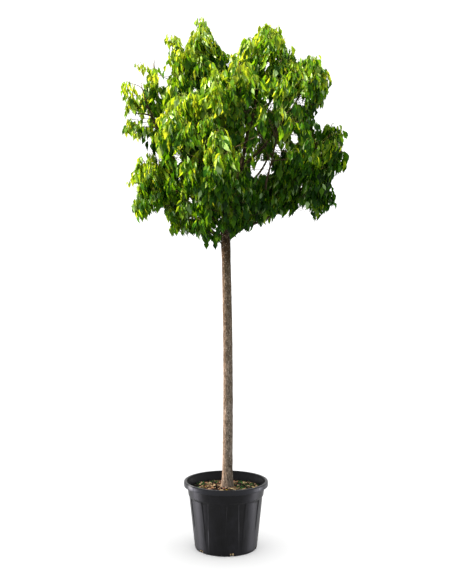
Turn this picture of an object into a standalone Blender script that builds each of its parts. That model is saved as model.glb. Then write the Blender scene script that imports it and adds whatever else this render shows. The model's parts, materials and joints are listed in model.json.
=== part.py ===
"""A box elder grown as a standard: pot, compost, trunk, boughs and masses of foliage.

Metres, +Z up. The origin is the centre of the pot's flat underside, and the front faces -Y.
The trunk and boughs are tapering limbs. Each mass of foliage keeps to a space of its own, an
ellipsoid cut off by a plane halfway to each neighbour, and fills it with twigs and leaves that
grow from one stem by a seeded rule.
"""

import math
import random
from itertools import pairwise
from typing import NamedTuple

import bmesh
import bpy
from mathutils import Matrix, Vector
from mathutils.bvhtree import BVHTree

UP = Vector((0, 0, 1))
GOLDEN_ANGLE = 2.4
SEAT_GAP = 0.0003
SHARP_EDGE = math.radians(35)

# The pot: a moulded nursery container with recessed channels down its side
POT_HEIGHT = 0.358
POT_LIP_RADIUS = 0.225
POT_LIP_HEIGHT = 0.026
POT_LIP_WALL = 0.0045
POT_OPENING_RADIUS = 0.209
POT_BAND_FOOT = 0.285
POT_BAND_FOOT_RADIUS = 0.201
POT_BAND_TOP_RADIUS = 0.207
POT_BODY_TOP_RADIUS = 0.197
POT_BODY_FOOT_RADIUS = 0.1675
POT_BODY_FOOT = 0.014
POT_UNDERSIDE_RADIUS = 0.158
POT_LIP_ROUND = 0.005
POT_FOOT_ROUND = 0.004
POT_WALL = 0.007
POT_FLOOR = 0.007
CHANNELS = 12
CHANNEL_FIRST = math.radians(-4.5)
CHANNEL_HALF_WIDTH = math.radians(6.5)
CHANNEL_EDGE = math.radians(0.9)
CHANNEL_DEPTH = 0.004
NOTCHES = 6
NOTCH_FIRST = math.radians(10.5)
NOTCH_WIDTH = 0.022
NOTCH_HEIGHT = 0.018
NOTCH_DEPTH = 0.030
NOTCH_ROUND = 0.005

SOIL_TOP = 0.318
SOIL_GAP = 0.0005

# The trunk bows a little to the right on its way up, flares at the ground and swells at the fork
TRUNK_FOOT = Vector((0.006, 0, SOIL_TOP + SEAT_GAP))
TRUNK_BOW = Vector((0.020, -0.004, 1.02))
TRUNK_HEAD = Vector((-0.005, 0, 1.735))
TRUNK_FOOT_RADIUS = 0.0272
TRUNK_HEAD_RADIUS = 0.0232
TRUNK_FLARE = 0.0095
TRUNK_FLARE_HEIGHT = 0.045
TRUNK_SWELL = 0.0030
TRUNK_SWELL_START = 0.80
TRUNK_LOBES = 5
TRUNK_LOBE_DEPTH = 0.11
TRUNK_LOBE_TURN = 0.6
TRUNK_FLARE_RINGS = (0, 0.35, 0.8)
TRUNK_DOME = 0.024
TRUNK_DOME_RINGS = (0.45, 0.8, 1)
TRUNK_DOME_FLAT = 0.25
TRUNK_SIDES = 12
TRUNK_RINGS = 12

# The boughs: how they leave their parents, wander, taper and enter their masses
LIMB_SIDES = 5
LIMB_KNOTS = 6
LIMB_WANDER = 0.0035
LIMB_APPROACH_DROP = 0.25
LIMB_START_LIFT = 0.25
LIMB_START_PULL = 0.38
LIMB_END_PULL = 0.30
LIMB_TAPER_POWER = 0.8
NEIGHBOUR_SHARE = 0.08

SPACE_MARGIN = 0.004
LIMB_CLEARANCE = 0.006

# The stem that carries on from a bough's tip, and the side twigs that leave it in pairs
STEM_SIDES = 5
STEM_KNOTS = 4
STEM_TIP_RADIUS = 0.0026
STEM_REACH = 0.93
STEM_LEANS = 8
STEM_LEAN_STEP = 0.35
STEM_RISE = 0.9
STEM_PULL = 0.4
STEM_PAST_MIDDLE = 0.02
TWIG_SIDES = 3
TWIG_NODES = 5
TWIG_FIRST = 0.14
TWIG_LAST = 0.86
TWIG_FOOT_SHARE = 0.75
TWIG_TIP_RADIUS = 0.0022
TWIG_LONGEST = 0.20
TWIG_SHORTEST = 0.035
TWIG_ROOM = (0.78, 0.96)
TWIG_SWING = (-0.35, 0.35)
TWIG_LEAN = (0.25, 0.65)
TWIG_LIFT = (0.1, 0.5)

# The leaves: each stands for a spray of the real tree's leaflets
LEAF_LENGTH = 0.19
LEAF_WIDTH_SHARE = 0.70
LEAF_FOLD_SHARE = 0.018
LEAF_RIDGE_SHARE = 0.008
LEAF_DROOP_SHARE = 0.05
LEAF_BELLY = 0.42
LEAF_FACES = ((0, 2, 3), (2, 1, 3), (2, 0, 4), (1, 2, 4), (3, 1, 4), (0, 3, 4))
LEAF_SIZES = (1.0, 0.84, 0.70, 0.58)
LEAF_SIZE_SPREAD = (0.92, 1.0)
LEAF_TRIES = 12
LEAF_PAIRS = ((0.45, 0.85), (0.70,))
LEAF_ROOT_DEPTH = 0.004
LEAF_OUT = 0.8
LEAF_LEAN = (0.0, 0.5)
LEAF_SWING = (-0.6, 0.6)
LEAF_TURN = (-1.1, 1.1)
LEAF_FACE_LIFT = 0.35
END_LEAF_DROP = (0.5, 1.5)
PAIR_LEAF_DROP = (0.3, 2.6)
TOP_LEAF_DROP = (-0.9, 0.6)
TOP_LEAVES = 4

CROWN_AXIS = Vector((0.03, 0, 0))


class Mass(NamedTuple):
    """One mass of foliage: its middle and its half-sizes along X, Y and Z."""

    middle: tuple[float, float, float]
    reach: tuple[float, float, float]


class Limb(NamedTuple):
    """One bough, from a share of the way along its parent to the mass that it carries."""

    parent: str
    at: float
    foot: float
    tip: float
    rise: float
    enter: float


MASSES = {
    "spire": Mass((-0.105, 0.00, 2.615), (0.108, 0.140, 0.212)),
    "crest": Mass((0.195, 0.02, 2.605), (0.170, 0.190, 0.195)),
    "right_upper": Mass((0.425, 0.04, 2.470), (0.145, 0.165, 0.170)),
    "right_high": Mass((0.310, -0.09, 2.350), (0.170, 0.185, 0.180)),
    "right_mid": Mass((0.490, -0.04, 2.095), (0.175, 0.190, 0.180)),
    "right_low": Mass((0.390, 0.02, 1.890), (0.215, 0.210, 0.180)),
    "low_right": Mass((0.170, 0.04, 1.845), (0.185, 0.190, 0.170)),
    "low_front": Mass((0.035, -0.20, 1.775), (0.150, 0.150, 0.150)),
    "low_left": Mass((-0.125, -0.06, 1.765), (0.185, 0.190, 0.205)),
    "left_low": Mass((-0.365, 0.02, 1.915), (0.200, 0.200, 0.195)),
    "left_mid": Mass((-0.405, -0.03, 2.315), (0.168, 0.170, 0.165)),
    "left_sprig": Mass((-0.380, 0.06, 2.490), (0.100, 0.110, 0.115)),
    "left_up": Mass((-0.220, -0.02, 2.500), (0.132, 0.165, 0.210)),
    "front_high": Mass((0.040, -0.25, 2.315), (0.220, 0.190, 0.220)),
    "front_low": Mass((-0.030, -0.34, 1.990), (0.205, 0.190, 0.195)),
    "front_right": Mass((0.250, -0.26, 2.110), (0.190, 0.190, 0.180)),
    "front_left": Mass((-0.205, -0.25, 2.165), (0.165, 0.180, 0.200)),
    "back_high": Mass((0.000, 0.24, 2.440), (0.215, 0.190, 0.210)),
    "back_low": Mass((0.000, 0.34, 2.005), (0.210, 0.190, 0.200)),
    "back_right": Mass((0.300, 0.27, 2.240), (0.190, 0.180, 0.200)),
    "back_left": Mass((-0.240, 0.29, 2.200), (0.165, 0.180, 0.195)),
}

LIMBS = {
    "spire": Limb("trunk", 0.985, 0.0165, 0.0060, 0.90, 0.80),
    "crest": Limb("trunk", 0.980, 0.0160, 0.0060, 0.60, 0.80),
    "left_mid": Limb("trunk", 0.970, 0.0130, 0.0055, 0.30, 0.80),
    "right_mid": Limb("trunk", 0.950, 0.0130, 0.0055, 0.10, 0.80),
    "left_low": Limb("trunk", 0.945, 0.0110, 0.0055, 0.05, 0.80),
    "front_low": Limb("trunk", 0.960, 0.0110, 0.0055, 0.10, 0.80),
    "back_low": Limb("trunk", 0.965, 0.0110, 0.0055, 0.10, 0.80),
    "low_front": Limb("trunk", 0.940, 0.0075, 0.0050, 0.00, 0.55),
    "low_left": Limb("trunk", 0.930, 0.0075, 0.0050, 0.00, 0.45),
    "low_right": Limb("trunk", 0.935, 0.0075, 0.0050, 0.00, 0.45),
    "left_up": Limb("spire", 0.45, 0.0085, 0.0050, 0.45, 0.80),
    "front_high": Limb("spire", 0.34, 0.0085, 0.0050, 0.30, 0.80),
    "back_high": Limb("crest", 0.30, 0.0085, 0.0050, 0.40, 0.80),
    "right_upper": Limb("crest", 0.40, 0.0090, 0.0050, 0.35, 0.80),
    "right_high": Limb("right_upper", 0.45, 0.0060, 0.0045, 0.40, 0.70),
    "front_left": Limb("left_mid", 0.30, 0.0075, 0.0050, 0.30, 0.80),
    "back_left": Limb("left_mid", 0.22, 0.0075, 0.0050, 0.30, 0.80),
    "left_sprig": Limb("left_mid", 0.62, 0.0065, 0.0045, 0.45, 0.80),
    "front_right": Limb("right_mid", 0.25, 0.0075, 0.0050, 0.35, 0.80),
    "back_right": Limb("crest", 0.18, 0.0080, 0.0050, 0.30, 0.80),
    "right_low": Limb("right_mid", 0.14, 0.0080, 0.0050, 0.05, 0.80),
}

# Gaps that show the sky, seen from the front: each is kept clear along its line of sight
EYE = Vector((0, -4.33, 1.436))
GAP_DEPTH = 0.60
GAP_SIDES = 8


class Gap(NamedTuple):
    """A gap in the crown: its place on the plane through the trunk, and its radius."""

    x: float
    z: float
    radius: float


SKY_GAPS = (
    Gap(0.211, 2.022, 0.045),
    Gap(0.352, 2.188, 0.020),
    Gap(0.396, 2.369, 0.026),
    Gap(-0.267, 2.080, 0.020),
)


class Space:
    """The space that one mass keeps to."""

    def __init__(self, name):
        self.middle = Vector(MASSES[name].middle)
        self.reach = Vector(MASSES[name].reach)
        self.walls = []
        for other, mass in MASSES.items():
            if other == name:
                continue
            across = Vector(mass.middle) - self.middle
            span = across.length
            across.normalize()
            mine = support(self.reach, across)
            theirs = support(Vector(mass.reach), across)
            wall = (span * span + mine * mine - theirs * theirs) / (2 * span)
            self.walls.append((across, wall - SPACE_MARGIN))

    def holds(self, points):
        """Whether every point lies inside the space."""
        for point in points:
            offset = point - self.middle
            scaled = Vector(a / b for a, b in zip(offset, self.reach))
            if scaled.length > 1:
                return False
            if any(offset.dot(across) > wall for across, wall in self.walls):
                return False
        return True

    def room(self, point, direction):
        """How far a ray from a point inside runs before it leaves the space."""
        offset = point - self.middle
        start = Vector(a / b for a, b in zip(offset, self.reach))
        step = Vector(a / b for a, b in zip(direction, self.reach))
        square = step.dot(step)
        half = start.dot(step)
        rest = max(half * half - square * (start.dot(start) - 1), 0)
        runs = [(math.sqrt(rest) - half) / square]
        for across, wall in self.walls:
            closing = direction.dot(across)
            if closing > 1e-6:
                runs.append((wall - offset.dot(across)) / closing)
        return max(min(runs), 0)


def support(reach, direction):
    """The half-size of an ellipsoid along a direction."""
    return 1 / Vector(a / b for a, b in zip(direction, reach)).length


def blend(a, b, share):
    """The value that lies a share of the way from a to b."""
    return a + (b - a) * share


def ease(share):
    """A share from 0 to 1, slow at both ends."""
    share = min(max(share, 0), 1)
    return share * share * (3 - 2 * share)


def shares(count):
    """Evenly spaced shares from 0 to 1."""
    return [index / (count - 1) for index in range(count)]


def bezier(controls, share):
    """The point a share of the way along a Bezier curve of any degree."""
    points = list(controls)
    while len(points) > 1:
        points = [a.lerp(b, share) for a, b in pairwise(points)]
    return points[0]


def along(path, share):
    """The point and direction a share of the way along a path of knots."""
    place = min(max(share, 0), 1) * (len(path) - 1)
    index = min(int(place), len(path) - 2)
    start, end = path[index], path[index + 1]
    return start.lerp(end, place - index), (end - start).normalized()


def sideways(direction, angle):
    """A unit vector square to a direction, at an angle round it."""
    level = direction.orthogonal().normalized()
    return Matrix.Rotation(angle, 3, direction) @ level


def skin(rings):
    """A closed bmesh over rings of points, with a flat cap on the first and the last."""
    bm = bmesh.new()
    loops = [[bm.verts.new(point) for point in ring] for ring in rings]
    for lower, upper in pairwise(loops):
        for corner in range(len(lower)):
            bm.faces.new((lower[corner - 1], lower[corner], upper[corner], upper[corner - 1]))
    bm.faces.new(reversed(loops[0]))
    bm.faces.new(loops[-1])
    bmesh.ops.recalc_face_normals(bm, faces=bm.faces)
    return bm


def tube(path, radii, sides, start=None):
    """A closed tapering tube along a path, its first ring square to the start direction."""
    axes = [(path[1] - path[0]).normalized()]
    axes += [(after - before).normalized() for before, after in zip(path, path[2:])]
    axes.append((path[-1] - path[-2]).normalized())
    if start is not None:
        axes[0] = start
    turn = axes[0].to_track_quat("Z", "Y")
    rings = []
    for index, (point, radius) in enumerate(zip(path, radii)):
        if index:
            turn = axes[index - 1].rotation_difference(axes[index]) @ turn
        corners = (math.tau * corner / sides for corner in range(sides))
        flat = (Vector((math.cos(angle), math.sin(angle), 0)) * radius for angle in corners)
        rings.append([point + turn @ corner for corner in flat])
    return skin(rings)


def tree_of(bm):
    """The faces of a bmesh, ready for tests of what they cross."""
    return BVHTree.FromBMesh(bm)


def crosses(bm, trees):
    """Whether the bmesh crosses any of the trees."""
    own = tree_of(bm)
    return any(own.overlap(tree) for tree in trees)


def add_object(name, bm, collection=None):
    """Turns a bmesh into an object, and frees it."""
    mesh = bpy.data.meshes.new(name)
    bm.to_mesh(mesh)
    bm.free()
    obj = bpy.data.objects.new(name, mesh)
    (collection or bpy.context.scene.collection).objects.link(obj)
    return obj


def combine(obj, others, operation):
    """Applies one Boolean on a collection of helpers to an object, and removes them."""
    modifier = obj.modifiers.new("combine", "BOOLEAN")
    modifier.operation = operation
    modifier.operand_type = "COLLECTION"
    modifier.collection = others
    modifier.solver = "EXACT"
    graph = bpy.context.evaluated_depsgraph_get()
    mesh = bpy.data.meshes.new_from_object(obj.evaluated_get(graph))
    obj.modifiers.clear()
    old = obj.data
    obj.data = mesh
    mesh.name = obj.name
    bpy.data.meshes.remove(old)
    for helper in list(others.objects):
        helper_mesh = helper.data
        bpy.data.objects.remove(helper)
        bpy.data.meshes.remove(helper_mesh)
    bpy.data.collections.remove(others)


def shade(obj):
    """Smooth shading, with the real edges left sharp."""
    obj.data.shade_smooth()
    obj.data.set_sharp_from_angle(angle=SHARP_EDGE)


def helpers(name):
    """A new collection of helper objects."""
    made = bpy.data.collections.new(name)
    bpy.context.scene.collection.children.link(made)
    return made


def material(name, colour, roughness):
    """A plain finish of one colour."""
    made = bpy.data.materials.new(name)
    made.use_nodes = True
    shader = made.node_tree.nodes["Principled BSDF"]
    shader.inputs["Base Color"].default_value = (*colour, 1)
    shader.inputs["Roughness"].default_value = roughness
    shader.inputs["Metallic"].default_value = 0
    made.diffuse_color = (*colour, 1)
    return made


def pot_angles():
    """The angles of a ring's corners, two for each edge of a channel, and which lie inside it."""
    outer = CHANNEL_HALF_WIDTH + CHANNEL_EDGE
    inner = CHANNEL_HALF_WIDTH - CHANNEL_EDGE
    corners = ((-outer, False), (-inner, True), (inner, True), (outer, False))
    for channel in range(CHANNELS):
        middle = CHANNEL_FIRST + math.tau * channel / CHANNELS
        for offset, inside in corners:
            yield middle + offset, inside


def pot_ring(radius, height, depth=0.0):
    """A ring of the pot: angle 0 faces the front, and the channels lie deeper."""
    points = []
    for angle, inside in pot_angles():
        reach = radius - depth * inside
        points.append(Vector((reach * math.sin(angle), -reach * math.cos(angle), height)))
    return points


def pot_wall_radius(height):
    """The inner radius of the pot at a height inside its body or band."""
    share = (height - POT_BODY_FOOT) / (POT_BAND_FOOT - POT_BODY_FOOT)
    return blend(POT_BODY_FOOT_RADIUS, POT_BODY_TOP_RADIUS, share) - POT_WALL


def pot_skin():
    """The pot's surface, up its outside, over the turned-down lip and down its inside."""
    lip_foot = POT_HEIGHT - POT_LIP_HEIGHT
    lip_inside = POT_LIP_RADIUS - POT_LIP_WALL
    groove_top = POT_HEIGHT - 2 * POT_LIP_ROUND
    rings = (
        (POT_UNDERSIDE_RADIUS, 0, 0),
        (POT_BODY_FOOT_RADIUS - POT_FOOT_ROUND, POT_FOOT_ROUND, 0),
        (POT_BODY_FOOT_RADIUS, POT_BODY_FOOT, 0),
        (POT_BODY_TOP_RADIUS, POT_BAND_FOOT - POT_FOOT_ROUND, CHANNEL_DEPTH),
        (POT_BAND_FOOT_RADIUS, POT_BAND_FOOT, 0),
        (POT_BAND_TOP_RADIUS, lip_foot, 0),
        (POT_OPENING_RADIUS, groove_top, 0),
        (lip_inside, groove_top, 0),
        (lip_inside, lip_foot, 0),
        (POT_LIP_RADIUS, lip_foot, 0),
        (POT_LIP_RADIUS, POT_HEIGHT - POT_LIP_ROUND, 0),
        (POT_LIP_RADIUS - POT_LIP_ROUND, POT_HEIGHT, 0),
        (POT_OPENING_RADIUS, POT_HEIGHT, 0),
        (POT_OPENING_RADIUS - POT_LIP_ROUND / 2, POT_HEIGHT - POT_LIP_ROUND, 0),
        (pot_wall_radius(SOIL_TOP), SOIL_TOP, 0),
        (pot_wall_radius(POT_FLOOR), POT_FLOOR, 0),
    )
    return skin([pot_ring(radius, height, depth) for radius, height, depth in rings])


def notch_skin(angle):
    """A cutter for one drain notch: a block across the pot's foot, its upper corners rounded."""
    bm = bmesh.new()
    bmesh.ops.create_cube(bm, size=1)
    outward = Vector((math.sin(angle), -math.cos(angle), 0))
    size = Matrix.Diagonal((NOTCH_WIDTH, NOTCH_DEPTH, 2 * NOTCH_HEIGHT, 1))
    place = Matrix.Translation(outward * POT_BODY_FOOT_RADIUS) @ Matrix.Rotation(angle, 4, "Z")
    bmesh.ops.transform(bm, matrix=place @ size, verts=bm.verts)
    corners = []
    for edge in bm.edges:
        run = (edge.verts[1].co - edge.verts[0].co).normalized()
        if min(vert.co.z for vert in edge.verts) > 0 and abs(run.dot(outward)) > 0.9:
            corners.append(edge)
    bmesh.ops.bevel(
        bm, geom=corners, offset=NOTCH_ROUND, segments=2, profile=0.5, affect="EDGES", material=-1
    )
    return bm


def build_pot():
    """The container, with the drain notches cut through its foot."""
    pot = add_object("pot", pot_skin())
    cutters = helpers("drain_notches")
    for notch in range(NOTCHES):
        angle = NOTCH_FIRST + math.tau * notch / NOTCHES
        add_object("notch", notch_skin(angle), cutters)
    combine(pot, cutters, "DIFFERENCE")
    shade(pot)
    pot.data.materials.append(material("moulded_plastic", (0.012, 0.012, 0.014), 0.5))


def build_compost():
    """The filling, a hair clear of the pot's wall and floor."""
    rings = [
        pot_ring(pot_wall_radius(height) - SOIL_GAP, height)
        for height in (POT_FLOOR + SEAT_GAP, SOIL_TOP)
    ]
    compost = add_object("compost", skin(rings))
    shade(compost)
    compost.data.materials.append(material("bark_compost", (0.06, 0.035, 0.02), 0.95))


def trunk_path():
    """The knots of the trunk's middle line, from the ground to the fork."""
    return [bezier((TRUNK_FOOT, TRUNK_BOW, TRUNK_HEAD), share) for share in shares(TRUNK_RINGS)]


def trunk_radius(point):
    """The trunk's mean radius at a point of its path."""
    climb = point.z - TRUNK_FOOT.z
    share = climb / (TRUNK_HEAD.z - TRUNK_FOOT.z)
    swell = TRUNK_SWELL * ease((share - TRUNK_SWELL_START) / (1 - TRUNK_SWELL_START))
    flare = TRUNK_FLARE * math.exp(-climb / TRUNK_FLARE_HEIGHT)
    return blend(TRUNK_FOOT_RADIUS, TRUNK_HEAD_RADIUS, share) + swell + flare


def trunk_ring(point, radius, spread):
    """A level ring with buttress lobes where the trunk flares."""
    lobed = TRUNK_LOBE_DEPTH * math.exp(-(point.z - TRUNK_FOOT.z) / TRUNK_FLARE_HEIGHT)
    ring = []
    for corner in range(TRUNK_SIDES):
        angle = math.tau * corner / TRUNK_SIDES
        reach = radius * (1 + lobed * math.cos(TRUNK_LOBES * angle + TRUNK_LOBE_TURN)) + spread
        ring.append(point + Vector((math.cos(angle), math.sin(angle), 0)) * reach)
    return ring


def trunk_skin(spread=0.0):
    """The trunk's surface, grown outwards by a spread, from the flat cut to a domed head."""
    low = [TRUNK_FOOT + UP * TRUNK_FLARE_HEIGHT * share for share in TRUNK_FLARE_RINGS]
    path = low + trunk_path()[2:]
    rings = [trunk_ring(point, trunk_radius(point), spread) for point in path]
    for share in TRUNK_DOME_RINGS:
        point = TRUNK_HEAD + UP * (TRUNK_DOME + spread) * share
        radius = trunk_radius(TRUNK_HEAD) * max(math.sqrt(1 - share * share), TRUNK_DOME_FLAT)
        rings.append(trunk_ring(point, radius, spread))
    return skin(rings)


def build_trunk():
    """The single bare trunk, flat where it meets the compost."""
    trunk = add_object("trunk", trunk_skin())
    shade(trunk)
    trunk.data.materials.append(material("trunk_bark", (0.20, 0.15, 0.11), 0.9))


def limb_path(name, paths, spaces):
    """The knots of a bough's path: out of its parent, up and on into its mass."""
    limb = LIMBS[name]
    space = spaces[name]
    start, heading = along(paths[limb.parent], limb.at)
    inward = (start - space.middle).normalized()
    inward = (inward - UP * LIMB_APPROACH_DROP).normalized()
    end = space.middle + inward * space.room(space.middle, inward) * limb.enter
    out = end - start
    out.z = LIMB_START_LIFT * out.length
    leaving = (heading * limb.rise + out.normalized() * (1 - limb.rise)).normalized()
    entering = (space.middle - end).normalized()
    span = (end - start).length
    near = start + leaving * span * LIMB_START_PULL
    far = end - entering * span * LIMB_END_PULL
    draw = random.Random(f"{name} bough")
    path = [bezier((start, near, far, end), share) for share in shares(LIMB_KNOTS)]
    for knot in range(2, LIMB_KNOTS - 1):
        path[knot] += Vector(draw.uniform(-1, 1) * LIMB_WANDER for _ in range(3))
    return path


def limb_radii(name):
    """A bough's radius at each knot."""
    limb = LIMBS[name]
    return [blend(limb.foot, limb.tip, share**LIMB_TAPER_POWER) for share in shares(LIMB_KNOTS)]


def limb_skin(name, paths, spread=0.0):
    """A bough's surface, grown outwards by a spread, also past both its ends."""
    path = list(paths[name])
    if spread:
        path[0] = path[0] - (path[1] - path[0]).normalized() * spread
        path[-1] = path[-1] + (path[-1] - path[-2]).normalized() * spread
    return tube(path, [radius + spread for radius in limb_radii(name)], LIMB_SIDES)


def build_boughs(paths):
    """Each bough is cut clear of its parent, and of the boughs that leave it close by."""
    bark = material("bough_bark", (0.16, 0.12, 0.08), 0.9)
    made = []
    for name, limb in LIMBS.items():
        bough = add_object(f"bough_{name}", limb_skin(name, paths))
        bough.data.materials.append(bark)
        cutters = helpers("neighbours")
        if limb.parent == "trunk":
            add_object("cutter", trunk_skin(SEAT_GAP), cutters)
        for other in made:
            beside = LIMBS[other].parent == limb.parent
            close = abs(LIMBS[other].at - limb.at) < NEIGHBOUR_SHARE
            if other == limb.parent or (beside and close):
                add_object("cutter", limb_skin(other, paths, SEAT_GAP), cutters)
        combine(bough, cutters, "DIFFERENCE")
        shade(bough)
        made.append(name)


def gap_skin(gap):
    """The prism that a gap keeps clear, along the line of sight through it."""
    place = Vector((gap.x, 0, gap.z))
    sight = (place - EYE) / -EYE.y
    path = [place - sight * GAP_DEPTH, place + sight * GAP_DEPTH]
    return tube(path, (gap.radius, gap.radius), GAP_SIDES)


def leaf_points(root, direction, face, length):
    """A leaf's root, tip, two sides and ridge, drooping at its sides and its tip."""
    across = direction.cross(face).normalized()
    face = across.cross(direction).normalized()
    belly = root + direction * length * LEAF_BELLY
    half = across * length * LEAF_WIDTH_SHARE / 2
    fold = face * length * LEAF_FOLD_SHARE
    ridge = belly + face * length * LEAF_RIDGE_SHARE
    tip = root + direction * length - face * length * LEAF_DROOP_SHARE
    return (root, tip, belly + half - fold, belly - half - fold, ridge)


def leaf_skin(points):
    """A closed bmesh over a leaf's points: two faces below, four above that meet at its ridge."""
    bm = bmesh.new()
    corners = [bm.verts.new(point) for point in points]
    for face in LEAF_FACES:
        bm.faces.new([corners[index] for index in face])
    bmesh.ops.recalc_face_normals(bm, faces=bm.faces)
    return bm


class Growth:
    """The twigs and leaves that one mass grows in its space."""

    def __init__(self, name, paths, space, limbs, gaps):
        self.name = name
        self.path = paths[name]
        self.space = space
        self.limbs = limbs
        self.obstacles = [*limbs.values(), *gaps]
        self.parts = helpers(f"growth_{name}")
        self.blades = []
        self.twigs = []

    def stem(self):
        """The stem's knots and its bmesh: on from the bough's tip, up the first clear way."""
        tip = self.path[-1]
        heading = (tip - self.path[-2]).normalized()
        start = tip + heading * SEAT_GAP
        far = self.space.middle + (self.space.middle - tip).normalized() * STEM_PAST_MIDDLE
        radii = [blend(LIMBS[self.name].tip, STEM_TIP_RADIUS, share) for share in shares(STEM_KNOTS)]
        others = [tree for name, tree in self.limbs.items() if name != self.name]
        for lean in range(STEM_LEANS):
            aside = sideways(heading, lean * GOLDEN_ANGLE) * STEM_LEAN_STEP * lean
            rise = (heading + UP * STEM_RISE + aside).normalized()
            end = far + rise * self.space.room(far, rise) * STEM_REACH
            span = (end - start).length
            controls = (start, start + heading * span * STEM_PULL, end)
            path = [bezier(controls, share) for share in shares(STEM_KNOTS)]
            bm = tube(path, radii, STEM_SIDES, heading)
            if not crosses(bm, others):
                return path, bm
            bm.free()
        raise ValueError(f"no clear way for the stem of {self.name}")

    def place_leaf(self, root, heading, side, seed, drops, own, sizes=LEAF_SIZES):
        """Sets one leaf in the space, clear of boughs, other twigs and leaves, or leaves it out."""
        draw = random.Random(f"{self.name} leaf {seed}")
        others = [twig for twig in self.twigs if twig is not own]
        outward = Vector((root.x - CROWN_AXIS.x, root.y - CROWN_AXIS.y, 0)).normalized()
        for _ in range(LEAF_TRIES):
            drop = draw.uniform(*drops)
            lean = draw.uniform(*LEAF_LEAN)
            out = Matrix.Rotation(draw.uniform(*LEAF_SWING), 3, heading) @ side
            face = Matrix.Rotation(draw.uniform(*LEAF_TURN), 3, UP) @ outward + UP * LEAF_FACE_LIFT
            direction = (out * LEAF_OUT + heading * lean - UP * drop).normalized()
            for size in sizes:
                length = LEAF_LENGTH * size * draw.uniform(*LEAF_SIZE_SPREAD)
                points = leaf_points(root, direction, face, length)
                if not self.space.holds(points[1:]):
                    continue
                bm = leaf_skin(points)
                if crosses(bm, self.obstacles + self.blades + others):
                    bm.free()
                    continue
                self.blades.append(tree_of(bm))
                add_object("leaf", bm, self.parts)
                return

    def side_twig(self, foot, radius, heading, turn, node, hand):
        """Grows one side twig from the stem, and the leaves on it."""
        seed = f"{node} {hand}"
        draw = random.Random(f"{self.name} twig {seed}")
        side = sideways(heading, turn + draw.uniform(*TWIG_SWING))
        lift = UP * draw.uniform(*TWIG_LIFT)
        direction = (heading * draw.uniform(*TWIG_LEAN) + side + lift).normalized()
        room = self.space.room(foot, direction)
        length = min(room * draw.uniform(*TWIG_ROOM), TWIG_LONGEST)
        if length < TWIG_SHORTEST:
            return
        end = foot + direction * length
        bm = tube([foot, end], (radius * TWIG_FOOT_SHARE, TWIG_TIP_RADIUS), TWIG_SIDES)
        if crosses(bm, self.obstacles):
            bm.free()
            return
        own = tree_of(bm)
        add_object("twig", bm, self.parts)
        self.twigs.append(own)
        tip = end - direction * LEAF_ROOT_DEPTH
        around = sideways(direction, draw.uniform(0, math.tau))
        self.place_leaf(tip, direction, around, f"{seed} end", END_LEAF_DROP, own)
        level = direction.cross(UP).normalized()
        for pair, share in enumerate(LEAF_PAIRS[hand]):
            point = foot.lerp(end, share)
            for way in (-1, 1):
                leaf_seed = f"{seed} {pair} {way}"
                self.place_leaf(point, direction, level * way, leaf_seed, PAIR_LEAF_DROP, own)

    def grow(self, leaf_material):
        """Grows the stem, its twigs and leaves, and joins them into one solid."""
        path, stem_bm = self.stem()
        stem_tree = tree_of(stem_bm)
        foliage = add_object(f"foliage_{self.name}", stem_bm)
        self.twigs.append(stem_tree)
        draw = random.Random(f"{self.name} stem")
        turn = draw.uniform(0, math.pi)
        for node in range(TWIG_NODES):
            share = blend(TWIG_FIRST, TWIG_LAST, node / (TWIG_NODES - 1))
            point, line = along(path, share)
            radius = blend(LIMBS[self.name].tip, STEM_TIP_RADIUS, share)
            for hand in range(2):
                around = turn + node * math.pi / 2 + hand * math.pi
                self.side_twig(point, radius, line, around, node, (hand + node) % 2)
        point, line = along(path, 1)
        tip = point - line * LEAF_ROOT_DEPTH
        for blade in range(TOP_LEAVES):
            side = sideways(line, turn + blade * math.tau / TOP_LEAVES)
            seed = f"crown {blade}"
            self.place_leaf(tip, line, side, seed, TOP_LEAF_DROP, stem_tree, LEAF_SIZES[1:])
        combine(foliage, self.parts, "UNION")
        foliage.data.materials.clear()
        foliage.data.materials.append(leaf_material)


def main():
    """Clears the scene and builds the tree from the pot up."""
    for obj in list(bpy.data.objects):
        bpy.data.objects.remove(obj)
    spaces = {name: Space(name) for name in MASSES}
    paths = {"trunk": trunk_path()}
    for name in LIMBS:
        paths[name] = limb_path(name, paths, spaces)
    build_pot()
    build_compost()
    build_trunk()
    build_boughs(paths)
    skins = {"trunk": trunk_skin(LIMB_CLEARANCE)}
    skins.update({name: limb_skin(name, paths, LIMB_CLEARANCE) for name in LIMBS})
    limbs = {name: tree_of(bm) for name, bm in skins.items()}
    gaps = [tree_of(gap_skin(gap)) for gap in SKY_GAPS]
    leaf = material("leaf", (0.06, 0.16, 0.02), 0.5)
    for name in MASSES:
        Growth(name, paths, spaces[name], limbs, gaps).grow(leaf)


main()
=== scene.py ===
"""The looks of a box elder grown as a standard: pot, compost, bark, twigs and leaves.

Metres, +Z up, the front faces -Y. The trunk's line, the boughs and the spaces that the masses of
foliage keep to follow the same rule and sizes as the tree's solids. Each mass is grown again here
from its bough's tip and carried on to finer twigs and true compound leaves.
"""

import json
import logging
from collections.abc import Callable, Iterable
from dataclasses import dataclass, field
from enum import Enum
from itertools import pairwise
from math import atan2, copysign, cos, exp, hypot, pi, radians, remainder, sin, sqrt, tau
from random import Random
from typing import NamedTuple

import bmesh
import bpy
import numpy as np
from bmesh.types import BMesh
from bpy.types import Material, Mesh, Node, NodeSocket, NodeTree, Object
from mathutils import Matrix, Vector, noise

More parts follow.
